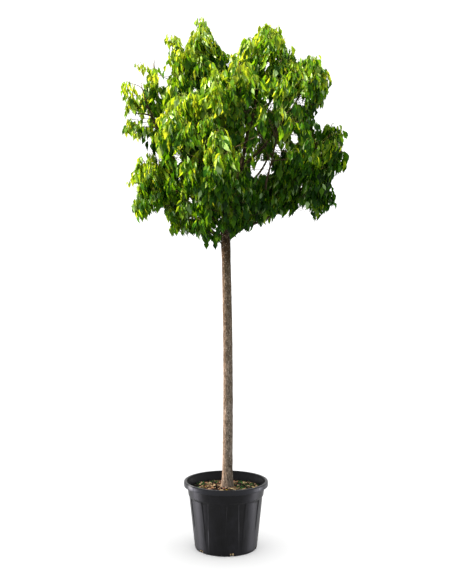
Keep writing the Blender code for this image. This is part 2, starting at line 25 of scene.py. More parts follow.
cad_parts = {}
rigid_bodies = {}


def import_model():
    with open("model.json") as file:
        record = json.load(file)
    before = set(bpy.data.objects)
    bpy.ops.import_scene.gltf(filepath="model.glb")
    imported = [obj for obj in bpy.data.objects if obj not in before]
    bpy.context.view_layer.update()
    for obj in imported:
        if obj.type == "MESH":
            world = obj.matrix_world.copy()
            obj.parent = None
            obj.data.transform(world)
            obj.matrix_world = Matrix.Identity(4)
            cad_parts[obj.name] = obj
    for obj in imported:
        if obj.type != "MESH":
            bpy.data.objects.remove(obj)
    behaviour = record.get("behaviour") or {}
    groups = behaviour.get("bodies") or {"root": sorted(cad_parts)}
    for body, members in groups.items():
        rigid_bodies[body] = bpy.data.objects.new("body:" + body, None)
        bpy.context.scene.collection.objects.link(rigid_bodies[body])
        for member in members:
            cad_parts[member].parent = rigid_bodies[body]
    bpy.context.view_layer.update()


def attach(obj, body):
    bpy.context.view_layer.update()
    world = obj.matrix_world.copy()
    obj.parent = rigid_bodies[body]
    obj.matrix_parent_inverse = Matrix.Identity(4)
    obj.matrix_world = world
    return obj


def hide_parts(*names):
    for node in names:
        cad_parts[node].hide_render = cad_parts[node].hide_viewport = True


log = logging.getLogger("box_elder")

UP = Vector((0, 0, 1))
GOLDEN_ANGLE = 2.4
TINY = 1e-6
BODY = "root"

# Where the camera stands
EYE = Vector((0, -4.33, 1.436))

# The fullness at the crown's rim, and how far back its front reaches
CROWN_RIM = 1.63
FRONT = 0.02

# How far the edge of a gap swings in and out, and over what distance
GAP_SWING = 0.45
GAP_MM = 28.0

# The least and the most that a draw may give, and a place or a size along X, Y and Z
Span = tuple[float, float]
Triple = tuple[float, float, float]


def blend(a: float, b: float, share: float) -> float:
    """Returns the value that lies a share of the way from a to b."""
    return a + (b - a) * share


def ease(share: float) -> float:
    """Returns a share from 0 to 1 made slow at both ends."""
    share = min(max(share, 0), 1)
    return share * share * (3 - 2 * share)


def shares(count: int) -> list[float]:
    """Returns evenly spaced shares from 0 to 1."""
    return [index / (count - 1) for index in range(count)]


def bezier(controls: Iterable[Vector], share: float) -> Vector:
    """Returns a point of a Bezier curve of any degree.

    Args:
        controls: The curve's control points.
        share: How far along the curve, from 0 to 1.

    Returns:
        The point.
    """
    points = list(controls)
    while len(points) > 1:
        points = [a.lerp(b, share) for a, b in pairwise(points)]
    return points[0]


def along(path: list[Vector], share: float) -> tuple[Vector, Vector]:
    """Finds a place on a path of knots.

    Args:
        path: The knots.
        share: How far along, from 0 to 1, by knots.

    Returns:
        The point and the direction there.
    """
    place = min(max(share, 0), 1) * (len(path) - 1)
    index = min(int(place), len(path) - 2)
    start, end = path[index], path[index + 1]
    return start.lerp(end, place - index), (end - start).normalized()


def sideways(direction: Vector, angle: float) -> Vector:
    """Returns a unit vector square to a direction, at an angle round it."""
    level = direction.orthogonal().normalized()
    return Matrix.Rotation(angle, 3, direction) @ level


def rounded(path: list[Vector], count: int) -> list[Vector]:
    """Draws a smooth curve through a path's knots.

    Args:
        path: The knots.
        count: How many points to return.

    Returns:
        Points of a Catmull-Rom curve through the knots.
    """
    knots = [path[0] * 2 - path[1], *path, path[-1] * 2 - path[-2]]
    points = []
    for share in shares(count):
        place = share * (len(path) - 1)
        index = min(int(place), len(path) - 2)
        t = place - index
        a, b, c, d = knots[index : index + 4]
        points.append(
            b
            + (c - a) * (t / 2)
            + (a * 2 - b * 5 + c * 4 - d) * (t * t / 2)
            + (b * 3 - a - c * 3 + d) * (t * t * t / 2)
        )
    return points


def frames(path: list[Vector], start: Vector | None = None) -> list[Matrix]:
    """Turns square to a path at each of its points, without twist.

    Args:
        path: The points.
        start: The direction of the first turn, where it isn't the path's own.

    Returns:
        One rotation a point, with Z along the path.
    """
    axes = [(path[1] - path[0]).normalized()]
    axes += [(after - before).normalized() for before, after in zip(path, path[2:])]
    axes.append((path[-1] - path[-2]).normalized())
    if start is not None:
        axes[0] = start
    turn = axes[0].to_track_quat("Z", "Y")
    turns = [turn.to_matrix()]
    for before, after in pairwise(axes):
        turn = before.rotation_difference(after) @ turn
        turns.append(turn.to_matrix())
    return turns


class Mass(NamedTuple):
    """One mass of foliage: its middle and its half-sizes along X, Y and Z."""

    middle: Triple
    reach: Triple


class Limb(NamedTuple):
    """One bough, from a share of the way along its parent to the mass that it carries."""

    parent: str
    at: float
    foot: float
    rise: float
    tip: float = 0.005
    enter: float = 0.8


class Gap(NamedTuple):
    """A gap in the crown: its place on the plane through the trunk, and its radius."""

    x: float
    z: float
    radius: float


MASSES = {
    "spire": Mass((-0.105, 0.0, 2.615), (0.108, 0.14, 0.212)),
    "crest": Mass((0.195, 0.02, 2.605), (0.17, 0.19, 0.195)),
    "right_upper": Mass((0.425, 0.04, 2.47), (0.145, 0.165, 0.17)),
    "right_high": Mass((0.31, -0.09, 2.35), (0.17, 0.185, 0.18)),
    "right_mid": Mass((0.49, -0.04, 2.095), (0.175, 0.19, 0.18)),
    "right_low": Mass((0.39, 0.02, 1.89), (0.215, 0.21, 0.18)),
    "low_right": Mass((0.17, 0.04, 1.845), (0.185, 0.19, 0.17)),
    "low_front": Mass((0.035, -0.2, 1.775), (0.15, 0.15, 0.15)),
    "low_left": Mass((-0.125, -0.06, 1.765), (0.185, 0.19, 0.205)),
    "left_low": Mass((-0.365, 0.02, 1.915), (0.2, 0.2, 0.195)),
    "left_mid": Mass((-0.405, -0.03, 2.315), (0.168, 0.17, 0.165)),
    "left_sprig": Mass((-0.38, 0.06, 2.49), (0.1, 0.11, 0.115)),
    "left_up": Mass((-0.22, -0.02, 2.5), (0.132, 0.165, 0.21)),
    "front_high": Mass((0.04, -0.25, 2.315), (0.22, 0.19, 0.22)),
    "front_low": Mass((-0.03, -0.34, 1.99), (0.205, 0.19, 0.195)),
    "front_right": Mass((0.25, -0.26, 2.11), (0.19, 0.19, 0.18)),
    "front_left": Mass((-0.205, -0.25, 2.165), (0.165, 0.18, 0.2)),
    "back_high": Mass((0.0, 0.24, 2.44), (0.215, 0.19, 0.21)),
    "back_low": Mass((0.0, 0.34, 2.005), (0.21, 0.19, 0.2)),
    "back_right": Mass((0.3, 0.27, 2.24), (0.19, 0.18, 0.2)),
    "back_left": Mass((-0.24, 0.29, 2.2), (0.165, 0.18, 0.195)),
}

LIMBS = {
    "spire": Limb("trunk", 0.985, 0.0165, 0.9, 0.006),
    "crest": Limb("trunk", 0.98, 0.016, 0.6, 0.006),
    "left_mid": Limb("trunk", 0.97, 0.013, 0.3, 0.0055),
    "right_mid": Limb("trunk", 0.95, 0.013, 0.1, 0.0055),
    "left_low": Limb("trunk", 0.945, 0.011, 0.05, 0.0055),
    "front_low": Limb("trunk", 0.96, 0.011, 0.1, 0.0055),
    "back_low": Limb("trunk", 0.965, 0.011, 0.1, 0.0055),
    "low_front": Limb("trunk", 0.94, 0.0075, 0.0, enter=0.55),
    "low_left": Limb("trunk", 0.93, 0.0075, 0.0, enter=0.45),
    "low_right": Limb("trunk", 0.935, 0.0075, 0.0, enter=0.45),
    "left_up": Limb("spire", 0.45, 0.0085, 0.45),
    "front_high": Limb("spire", 0.34, 0.0085, 0.3),
    "back_high": Limb("crest", 0.3, 0.0085, 0.4),
    "right_upper": Limb("crest", 0.4, 0.009, 0.35),
    "right_high": Limb("right_upper", 0.45, 0.006, 0.4, 0.0045, enter=0.7),
    "front_left": Limb("left_mid", 0.3, 0.0075, 0.3),
    "back_left": Limb("left_mid", 0.22, 0.0075, 0.3),
    "left_sprig": Limb("left_mid", 0.62, 0.0065, 0.45, 0.0045),
    "front_right": Limb("right_mid", 0.25, 0.0075, 0.35),
    "back_right": Limb("crest", 0.18, 0.008, 0.3),
    "right_low": Limb("right_mid", 0.14, 0.008, 0.05),
}

SKY_GAPS = tuple(
    Gap(*row)
    for row in (
        (0.145, 1.988, 0.02), (0.178, 1.996, 0.026), (0.212, 2.008, 0.03), (0.366, 2.17, 0.024),
        (0.274, 2.11, 0.02), (0.396, 2.369, 0.026), (-0.25, 2.062, 0.024), (-0.272, 2.084, 0.016),
    )
)
NOTCHES = tuple(
    Gap(*row)
    for row in (
        (0.028, 2.733, 0.081), (0.082, 2.803, 0.067), (0.0, 2.679, 0.034), (-0.037, 2.727, 0.037),
        (0.364, 2.7, 0.057), (0.616, 1.916, 0.056), (-0.566, 1.88, 0.052), (-0.498, 1.878, 0.03),
        (-0.075, 2.792, 0.036), (-0.205, 2.77, 0.042), (-0.23, 2.734, 0.02), (-0.172, 2.752, 0.02),
        (-0.212, 2.692, 0.024), (0.335, 2.8, 0.04), (0.352, 2.748, 0.024), (0.392, 2.632, 0.034),
        (-0.363, 2.605, 0.05), (-0.463, 2.504, 0.02), (-0.35, 2.56, 0.02), (-0.41, 2.576, 0.018),
        (-0.332, 2.472, 0.027), (-0.375, 2.567, 0.022), (-0.31, 2.525, 0.027), (-0.497, 2.514, 0.026),
        (-0.609, 2.348, 0.055), (-0.583, 2.318, 0.048), (-0.459, 2.439, 0.024), (-0.405, 2.16, 0.016),
        (0.513, 2.286, 0.046), (0.571, 2.294, 0.053), (0.674, 2.122, 0.052), (-0.568, 2.08, 0.058),
        (-0.548, 1.978, 0.015), (0.29, 1.744, 0.014), (0.35, 1.737, 0.024), (-0.012, 2.662, 0.018),
        (-0.006, 1.65, 0.026), (0.395, 1.729, 0.04), (0.44, 1.766, 0.028), (0.396, 1.796, 0.02),
        (0.165, 1.682, 0.04), (0.225, 1.694, 0.024), (0.312, 1.706, 0.026), (-0.33, 1.69, 0.04),
        (-0.345, 1.772, 0.022), (-0.136, 1.612, 0.026), (-0.234, 1.62, 0.03), (-0.18, 1.613, 0.034),
        (-0.085, 1.604, 0.022), (0.084, 1.648, 0.03), (-0.39, 1.74, 0.034),
    )
)
THIN = tuple(
    Gap(*row)
    for row in (
        (0.16, 2.284, 0.125), (0.288, 2.258, 0.11), (0.171, 2.15, 0.085), (0.262, 2.125, 0.09),
        (-0.433, 2.29, 0.05),
    )
)
OPEN = (*SKY_GAPS, *NOTCHES)
SPARSE = {"left_sprig": 0.15, "left_mid": 0.34}
SHOWN = ("crest", "right_upper")


class Sprig(NamedTuple):
    """A shoot that stands out of its mass: the mass, its end and the leaf pairs below its tuft."""

    mass: str
    tip: Triple
    pairs: int


SPRIGS = tuple(
    Sprig(*row)
    for row in (
        ("spire", (-0.142, 0.0, 2.826), 1), ("spire", (-0.112, -0.02, 2.78), 2),
        ("spire", (-0.16, 0.02, 2.73), 2), ("left_up", (-0.29, -0.02, 2.728), 1),
        ("left_up", (-0.262, -0.03, 2.711), 2), ("left_up", (-0.29, 0.02, 2.65), 2),
        ("left_sprig", (-0.46, 0.03, 2.598), 0), ("left_sprig", (-0.384, 0.02, 2.528), 1),
        ("left_sprig", (-0.4, -0.02, 2.466), 1), ("left_mid", (-0.523, -0.03, 2.481), 1),
        ("left_mid", (-0.475, -0.04, 2.405), 2), ("left_mid", (-0.54, -0.04, 2.35), 1),
        ("left_mid", (-0.515, 0.02, 2.265), 1), ("left_mid", (-0.47, -0.05, 2.245), 2),
        ("left_mid", (-0.384, -0.05, 2.2), 2), ("crest", (0.277, 0.02, 2.784), 2),
        ("crest", (0.215, 0.0, 2.79), 2), ("right_upper", (0.465, 0.02, 2.632), 2),
        ("right_mid", (0.59, -0.04, 2.224), 2), ("right_mid", (0.63, -0.04, 2.15), 2),
        ("right_mid", (0.602, -0.04, 2.078), 1), ("right_low", (0.54, -0.02, 1.885), 1),
        ("right_low", (0.555, -0.02, 1.925), 2), ("right_low", (0.48, -0.06, 1.89), 2),
        ("right_low", (0.33, -0.04, 1.85), 1), ("low_right", (0.265, -0.06, 1.85), 1),
        ("low_right", (0.062, -0.12, 1.755), 1), ("low_right", (0.112, -0.13, 1.785), 1),
        ("low_right", (0.165, -0.12, 1.8), 1), ("low_right", (0.155, -0.14, 1.93), 1),
        ("low_right", (0.2, -0.15, 1.9), 1), ("low_right", (0.245, -0.12, 1.87), 1),
        ("low_right", (0.18, -0.16, 1.85), 1), ("low_right", (0.22, -0.14, 1.815), 1),
        ("low_right", (0.145, -0.15, 1.8), 1), ("right_low", (0.3, -0.12, 1.905), 1),
        ("right_low", (0.345, -0.14, 1.95), 1), ("left_low", (-0.48, 0.0, 1.91), 2),
        ("left_low", (-0.42, -0.06, 1.865), 1), ("left_low", (-0.47, 0.0, 1.834), 1),
        ("left_low", (-0.395, -0.02, 2.105), 0), ("low_left", (-0.255, -0.08, 1.785), 1),
        ("low_left", (-0.19, -0.12, 1.75), 1), ("low_left", (-0.13, -0.1, 1.74), 1),
        ("low_left", (-0.08, -0.14, 1.75), 1), ("low_front", (0.0, -0.16, 1.8), 1),
        ("low_front", (0.07, -0.18, 1.8), 1),
    )
)


class BareTwig(NamedTuple):
    """A shoot without leaves: the mass that it grows in, its end and its foot's radius."""

    mass: str
    tip: Triple
    thick: float


BARE_TWIGS = (
    BareTwig("left_sprig", (-0.384, 0.03, 2.615), 0.0022),
    BareTwig("left_mid", (-0.505, -0.06, 2.372), 0.0058),
    BareTwig("left_mid", (-0.5, -0.05, 2.316), 0.006),
)


def measured(offset: Iterable[float], reach: Iterable[float]) -> Vector:
    """Returns an offset in units of an ellipsoid's half-sizes, so that 1 is its skin."""
    return Vector(a / b for a, b in zip(offset, reach))


def support(reach: Vector, direction: Vector) -> float:
    """Returns the half-size of an ellipsoid along a direction."""
    return 1 / measured(direction, reach).length


def seen(point: Vector) -> Vector:
    """Returns where a point shows on the plane through the trunk, seen from the front."""
    sight = point - EYE
    return EYE - sight * (EYE.y / sight.y)


def in_gap(point: Vector, gaps: Iterable[Gap]) -> bool:
    """Tells whether a point lies in front of or behind a gap, seen from the front."""
    shown = seen(point)
    swing = 1 + GAP_SWING * noise.noise(point * (1000 / GAP_MM))
    return any(hypot(shown.x - gap.x, shown.z - gap.z) < gap.radius * swing for gap in gaps)


class Space:
    """The space that one mass keeps to: an ellipsoid cut off halfway to each neighbour."""

    margin = 0.004

    def __init__(self, name: str) -> None:
        """Cuts the mass's ellipsoid by a wall towards each other mass.

        Args:
            name: The mass's name.
        """
        self.middle = Vector(MASSES[name].middle)
        self.reach = Vector(MASSES[name].reach)
        self.walls: list[tuple[Vector, float]] = []
        for other, mass in MASSES.items():
            if other == name:
                continue
            across = Vector(mass.middle) - self.middle
            span = across.length
            across.normalize()
            mine = support(self.reach, across)
            theirs = support(Vector(mass.reach), across)
            wall = (span * span + mine * mine - theirs * theirs) / (2 * span)
            self.walls.append((across, wall - self.margin))

    def room(self, point: Vector, direction: Vector) -> float:
        """Returns how far a ray from a point inside runs before it leaves the space."""
        offset = point - self.middle
        start = measured(offset, self.reach)
        step = measured(direction, self.reach)
        square = step.dot(step)
        half = start.dot(step)
        rest = max(half * half - square * (start.dot(start) - 1), 0)
        runs = [(sqrt(rest) - half) / square]
        for across, wall in self.walls:
            closing = direction.dot(across)
            if closing > TINY:
                runs.append((wall - offset.dot(across)) / closing)
        return max(min(runs), 0)


@dataclass
class Skeleton:
    """The lines that the tree grows on: its trunk, its boughs and its masses' spaces."""

    trunk_foot: Triple = (0.006, 0, 0.3183)
    trunk_bow: Triple = (0.02, -0.004, 1.02)
    trunk_head: Triple = (-0.005, 0, 1.735)
    trunk_rings: int = 12
    limb_knots: int = 6
    limb_wander: float = 0.0035
    approach_drop: float = 0.25
    start_lift: float = 0.25
    start_pull: float = 0.38
    end_pull: float = 0.3
    taper_power: float = 0.8
    join: float = 2.0
    trunk_balls: int = 60
    trunk_ball: float = 0.026
    limb_balls: int = 40
    middles: np.ndarray | None = None
    reaches: np.ndarray | None = None
    spaces: dict[str, Space] = field(default_factory=dict)
    paths: dict[str, list[Vector]] = field(default_factory=dict)

    def __post_init__(self) -> None:
        """Lays out the spaces, then the trunk and each bough in turn."""
        self.spaces = {name: Space(name) for name in MASSES}
        self.paths["trunk"] = [self.trunk_point(share) for share in shares(self.trunk_rings)]
        for name in LIMBS:
            self.paths[name] = self.limb_path(name)

    def trunk_point(self, share: float) -> Vector:
        """Returns the point of the trunk's middle line at a share of its way up."""
        controls = (self.trunk_foot, self.trunk_bow, self.trunk_head)
        return bezier([Vector(control) for control in controls], share)

    def limb_path(self, name: str) -> list[Vector]:
        """Draws a bough: out of its parent, up and on into its mass.

        Args:
            name: The bough's name.

        Returns:
            Its knots.
        """
        limb = LIMBS[name]
        space = self.spaces[name]
        start, heading = along(self.paths[limb.parent], limb.at)
        inward = (start - space.middle).normalized()
        inward = (inward - UP * self.approach_drop).normalized()
        end = space.middle + inward * space.room(space.middle, inward) * limb.enter
        out = end - start
        out.z = self.start_lift * out.length
        leaving = (heading * limb.rise + out.normalized() * (1 - limb.rise)).normalized()
        entering = (space.middle - end).normalized()
        span = (end - start).length
        near = start + leaving * span * self.start_pull
        far = end - entering * span * self.end_pull
        draw = Random(f"{name} bough")
        path = [bezier((start, near, far, end), share) for share in shares(self.limb_knots)]
        for knot in range(2, self.limb_knots - 1):
            path[knot] += Vector(draw.uniform(-1, 1) * self.limb_wander for _ in range(3))
        return path

    def limb_radius(self, name: str, share: float) -> float:
        """Returns a bough's radius at a share of its length."""
        limb = LIMBS[name]
        return blend(limb.foot, limb.tip, share**self.taper_power)

    def fullness(self, point: Vector) -> float:
        """Returns how deep in the crown a point lies: 1 at a lone mass's rim, more between masses."""
        if self.middles is None:
            self.middles = np.array([mass.middle for mass in MASSES.values()])
            self.reaches = np.array([mass.reach for mass in MASSES.values()])
        scaled = (np.array(point) - self.middles) / self.reaches
        return float(np.exp(-self.join * ((scaled * scaled).sum(axis=1) - 1)).sum())

    def obstacles(self, skip: str = "") -> tuple[np.ndarray, np.ndarray]:
        """Samples the trunk and boughs as balls, to keep twigs and leaves off them.

        Args:
            skip: A bough to leave out.

        Returns:
            The balls' centres and radii.
        """
        centres = [self.trunk_point(share) for share in shares(self.trunk_balls)]
        radii = [self.trunk_ball] * len(centres)
        for name in LIMBS:
            if name == skip:
                continue
            for share in shares(self.limb_balls):
                centres.append(along(self.paths[name], share)[0])
                radii.append(self.limb_radius(name, share))
        return np.array(centres), np.array(radii)


def linear(code: str) -> tuple[float, float, float, float]:
    """Turns an sRGB hex value such as 5a6b2c to linear red, green, blue and alpha."""
    levels = [int(code[index : index + 2], 16) / 255 for index in (0, 2, 4)]
    red, green, blue = (
        level / 12.92 if level <= 0.04045 else ((level + 0.055) / 1.055) ** 2.4 for level in levels
    )
    return red, green, blue, 1.0


Settings = dict[str | int, object]
Links = dict[str | int, NodeSocket]
Stops = Iterable[tuple[float, str]]


def set_node(node: Node, settings: Settings, links: Links) -> None:
    """Gives a node its settings and links.

    Args:
        node: The node.
        settings: Values by the name or place of a socket, or by a property of the node.
        links: Sockets that feed the node's own, by name or place.
    """
    for name, value in settings.items():
        if isinstance(name, int) or name in node.inputs:
            node.inputs[name].default_value = value
        else:
            setattr(node, name, value)
    for name, socket in links.items():
        node.id_data.links.new(socket, node.inputs[name])


def add_node(
    tree: NodeTree, kind: str, settings: Settings | None = None, links: Links | None = None,
    stops: Stops = (), out: int | str = 0,
) -> NodeSocket:
    """Adds a node with its settings and links.

    Args:
        tree: The material's node tree.
        kind: The node's type.
        settings: What set_node takes as settings.
        links: What set_node takes as links.
        stops: A colour ramp's places from 0 to 1 with their sRGB hex values.
        out: The name or place of the output to return.

    Returns:
        The node's output.
    """
    node = tree.nodes.new(kind)
    set_node(node, settings or {}, links or {})
    for index, (place, code) in enumerate(stops):
        elements = node.color_ramp.elements
        element = elements[index] if index < 2 else elements.new(place)
        element.position = place
        element.color = linear(code)
    return node.outputs[out]


def mottle(
    tree: NodeTree, place: NodeSocket, size_mm: float, settings: Settings, stops: Stops
) -> tuple[NodeSocket, NodeSocket]:
    """Spreads a few colours over a piece in soft patches.

    Args:
        tree: The material's node tree.
        place: The coordinates that the patches lie on.
        size_mm: The patches' size.
        settings: What else shapes them.
        stops: The colours, by level.

    Returns:
        The patches' level and their colour.
    """
    scaled = {"Scale": 1000 / size_mm, **settings}
    level = add_node(tree, "ShaderNodeTexNoise", scaled, {"Vector": place})
    return level, add_node(tree, "ShaderNodeValToRGB", {}, {"Fac": level}, stops)


def new_material(name: str) -> tuple[Material, Node, Node]:
    """Makes a material with a bare Principled node.

    Args:
        name: The material's name.

    Returns:
        The material, its Principled node and its output node.
    """
    made = bpy.data.materials.new(name)
    made.use_nodes = True
    nodes = made.node_tree.nodes
    return made, nodes["Principled BSDF"], nodes["Material Output"]


@dataclass(frozen=True)
class Plastic:
    """Injection-moulded black polypropylene.

    It gives the eye a near black, slightly blue body with a low, broken sheen at its edges, paler
    where it has been rubbed, and a fine moulded grain. Painted sheen lightens the lip's outer face,
    and a frayed pale patch of painted glare, drawn like a scuff, lies on the lip's front left.
    """

    name: str = "moulded_black_polypropylene"
    base: str = "070708"
    handled: str = "0e0e11"
    rubbed: str = "1b1b1f"
    cloud_mm: float = 60.0
    # Painted sheen: the lip's outer face is lightened to this colour.
    lip: str = "1d1e22"
    lip_sheen_from: float = 0.2125
    lip_sheen_top: float = 0.2155
    lip_sheen_share: float = 0.8
    # Painted glare: a frayed pale patch on the lip's front left, drawn like a scuff.
    scuff_glare: str = "777574"
    scuff_glare_place: Triple = (-0.186, -0.122, 0.356)
    scuff_glare_core: float = -0.02
    scuff_glare_edge: float = 0.004
    scuff_glare_share: float = 0.9
    glare_fray_mm: float = 3.846
    glare_fray_reach: float = 0.05
    streak_mm: float = 9.0
    streak_stretch: float = 0.08
    roughness: Span = (0.3, 0.46)
    grain_mm: float = 1.6
    grain_height: float = 0.0004
    shine: float = 0.14
    index: float = 1.49

    def build(self) -> Material:
        """Returns the material, clouded by handling, with painted sheen and glare on the lip, streaked
        down its wall.
        """
        made, shader, _ = new_material(self.name)
        tree = made.node_tree
        place = add_node(tree, "ShaderNodeTexCoord", out="Object")
        _, clouded = mottle(
            tree, place, self.cloud_mm, {"Detail": 7.0, "Roughness": 0.68},
            [(0.38, self.base), (0.58, self.handled), (0.8, self.rubbed)],
        )
        level = add_node(tree, "ShaderNodeMapping", {"Scale": (1, 1, 0)}, {"Vector": place})
        reach = add_node(tree, "ShaderNodeVectorMath", {"operation": "LENGTH"}, {0: level}, out="Value")
        # Painted sheen: the lip's outer face is mixed towards the paler lip colour.
        lip_sheen_mask = add_node(
            tree, "ShaderNodeMapRange",
            {"From Min": self.lip_sheen_from, "From Max": self.lip_sheen_top, "To Max": self.lip_sheen_share},
            {"Value": reach},
        )
        lip_sheened = add_node(
            tree, "ShaderNodeMix", {"data_type": "RGBA", 7: linear(self.lip)}, {0: lip_sheen_mask, 6: clouded},
            out=2,
        )
        # Painted glare on the lip's front left, its edge frayed by noise.
        away = add_node(
            tree, "ShaderNodeVectorMath", {"operation": "DISTANCE", 1: self.scuff_glare_place}, {0: place},
            out="Value",
        )
        glare_fray = add_node(
            tree, "ShaderNodeTexNoise",
            {"Scale": 1000 / self.glare_fray_mm, "Detail": 6.0, "Roughness": 0.7}, {"Vector": place},
        )
        frayed_glare = add_node(
            tree, "ShaderNodeMath", {"operation": "MULTIPLY_ADD", 1: -self.glare_fray_reach},
            {0: glare_fray, 2: away},
        )
        scuff_glare_mask = add_node(
            tree,
            "ShaderNodeMapRange",
            {
                "From Min": self.scuff_glare_core,
                "From Max": self.scuff_glare_edge,
                "To Min": self.scuff_glare_share,
                "To Max": 0.0,
            },
            {"Value": frayed_glare},
        )
        glared_colour = add_node(
            tree, "ShaderNodeMix", {"data_type": "RGBA", 7: linear(self.scuff_glare)}, {0: scuff_glare_mask, 6: lip_sheened},
            out=2,
        )
        stretch = (1, 1, self.streak_stretch)
        drawn = add_node(tree, "ShaderNodeMapping", {"Scale": stretch}, {"Vector": place})
        streak = add_node(
            tree, "ShaderNodeTexNoise", {"Scale": 1000 / self.streak_mm, "Detail": 3.0},
            {"Vector": drawn},
        )
        low, high = self.roughness
        rough = add_node(
            tree, "ShaderNodeMapRange",
            {"From Min": 0.35, "From Max": 0.65, "To Min": low, "To Max": high}, {"Value": streak},
        )
        grain = add_node(tree, "ShaderNodeTexNoise", {"Scale": 1000 / self.grain_mm}, {"Vector": place})
        bump = add_node(
            tree, "ShaderNodeBump", {"Strength": 0.15, "Distance": self.grain_height}, {"Height": grain}
        )
        set_node(
            shader,
            {"IOR": self.index, "Specular IOR Level": self.shine},
            {"Base Color": glared_colour, "Roughness": rough, "Normal": bump},
        )
        return made


@dataclass(frozen=True)
class Bark:
    """Young bark, a thin grey-brown rind.

    It gives the eye a matt surface with short upright cracks, darker hollows, a slow change of
    tone along the stem, painted shade that darkens and browns it towards the top, where the crown
    shades it, and scattered pale pores.
    """

    name: str
    hollow: str
    body: str
    crest: str
    pore: str
    crack_mm: float = 6.0
    stretch: float = 0.35
    pore_mm: float = 11.0
    pore_flatten: float = 1.8
    pore_radius: Span = (0.1, 0.2)
    pore_share: float = 0.85
    bump_mm: float = 0.6
    tone: str = "c9c2b4"
    tone_mm: float = 60.0
    # Painted shade: from here up, the bark darkens and browns where the crown shades the stem.
    crown_shade_from: float = 0.55
    crown_shade_to: float = 1.65
    crown_shade_stops: tuple[tuple[float, str], ...] = ((0.0, "ffffff"), (1.0, "ffffff"))
    roughness: float = 0.88
    shine: float = 0.15

    def build(self) -> Material:
        """Returns the material: cracks drawn out upwards, then broad tone and painted shade, then pores.
        """
        made, shader, _ = new_material(self.name)
        tree = made.node_tree
        place = add_node(tree, "ShaderNodeTexCoord", out="Object")
        stretch = (1, 1, self.stretch)
        drawn = add_node(tree, "ShaderNodeMapping", {"Scale": stretch}, {"Vector": place})
        cracks, cracked = mottle(
            tree, drawn, self.crack_mm, {"Detail": 9.0, "Roughness": 0.66, "Distortion": 0.5},
            [(0.36, self.hollow), (0.5, self.body), (0.66, self.crest)],
        )
        _, tone = mottle(
            tree, place, self.tone_mm, {"Detail": 5.0, "Roughness": 0.6},
            [(0.35, self.tone), (0.65, "ffffff")],
        )
        # Painted shade from the crown: the bark darkens and browns towards the top.
        height = add_node(tree, "ShaderNodeSeparateXYZ", {}, {0: place}, out="Z")
        climb = add_node(
            tree, "ShaderNodeMapRange", {"From Min": self.crown_shade_from, "From Max": self.crown_shade_to},
            {"Value": height},
        )
        crown_shade = add_node(tree, "ShaderNodeValToRGB", {}, {"Fac": climb}, self.crown_shade_stops)
        shaded = cracked
        for tint in (tone, crown_shade):
            shaded = add_node(
                tree, "ShaderNodeMix", {"data_type": "RGBA", "blend_type": "MULTIPLY", 0: 1.0},
                {6: shaded, 7: tint}, out=2,
            )
        flatten = (1, 1, self.pore_flatten)
        flat = add_node(tree, "ShaderNodeMapping", {"Scale": flatten}, {"Vector": place})
        pores = add_node(
            tree, "ShaderNodeTexVoronoi", {"Scale": 1000 / self.pore_mm, "Randomness": 1.0},
            {"Vector": flat},
        )
        near, far = self.pore_radius
        spot = add_node(
            tree, "ShaderNodeMapRange",
            {"From Min": near, "From Max": far, "To Min": self.pore_share, "To Max": 0.0},
            {"Value": pores},
        )
        pored = add_node(
            tree, "ShaderNodeMix", {"data_type": "RGBA", 7: linear(self.pore)}, {0: spot, 6: shaded},
            out=2,
        )
        bump = add_node(
            tree, "ShaderNodeBump", {"Strength": 0.9, "Distance": self.bump_mm / 1000},
            {"Height": cracks},
        )
        set_node(
            shader,
            {"Roughness": self.roughness, "Specular IOR Level": self.shine},
            {"Base Color": pored, "Normal": bump},
        )
        return made


TRUNK_BARK = Bark(
    "grey_brown_young_bark",
    "383029",
    "625950",
    "8d8378",
    "c4bcb2",
    # Painted shade under the crown, by height up the trunk.
    crown_shade_stops=(
        (0.2, "ffffff"),
        (0.41, "e9e5dd"),
        (0.77, "cfc7b6"),
        (0.85, "b8af98"),
        (0.92, "907d5c"),
        (1.0, "7a6743"),
    ),
)
BOUGH_BARK = Bark("brown_bough_bark", "1e1812", "3a3022", "574a36", "6c6350", 4.0, 0.5)


@dataclass(frozen=True)
class PlantMatter:
    """Dry or green plant matter: matt, its tone drifting a little from piece to piece."""

    name: str
    dark: str
    light: str
    drift_mm: float = 11.0
    roughness: float = 0.92
    shine: float = 0.12
    bump_mm: float = 1.0

    def build(self) -> Material:
        """Returns the material."""
        made, shader, _ = new_material(self.name)
        tree = made.node_tree
        place = add_node(tree, "ShaderNodeTexCoord", out="Object")
        drift, colour = mottle(
            tree, place, self.drift_mm, {"Detail": 5.0, "Roughness": 0.7},
            [(0.32, self.dark), (0.68, self.light)],
        )
        bump = add_node(
            tree, "ShaderNodeBump", {"Strength": 0.7, "Distance": self.bump_mm / 1000}, {"Height": drift}
        )
        set_node(
            shader,
            {"Roughness": self.roughness, "Specular IOR Level": self.shine},
            {"Base Color": colour, "Normal": bump},
        )
        return made


TWIG_BARK = PlantMatter("green_brown_twig_bark", "231c12", "463a24", 16, 0.7)
LEAF_STALK = PlantMatter("leaf_stalk", "34490f", "62721f", 16, 0.6)
# Near black: partly the compost's own dark, partly painted shade for the gaps between the chips.
COMPOST = PlantMatter("bark_compost", "0b0806", "241a12", 8)
LITTER = {
    # Near black chips: partly damp bark, partly painted shade for the gaps between chips.
    "dark": PlantMatter("damp_bark_chip", "070504", "17110c"),
    "brown": PlantMatter("brown_bark_chip", "33251a", "6e553c"),
    "tan": PlantMatter("dry_bark_chip", "86704f", "cdb68f"),
    "red": PlantMatter("red_bark_chip", "6a4332", "ac7c68"),
    "yellow": PlantMatter("yellow_leaf_bit", "98861c", "cdb83a"),
    "moss": PlantMatter("moss_and_seedlings", "1a4526", "4a7a3c"),
}


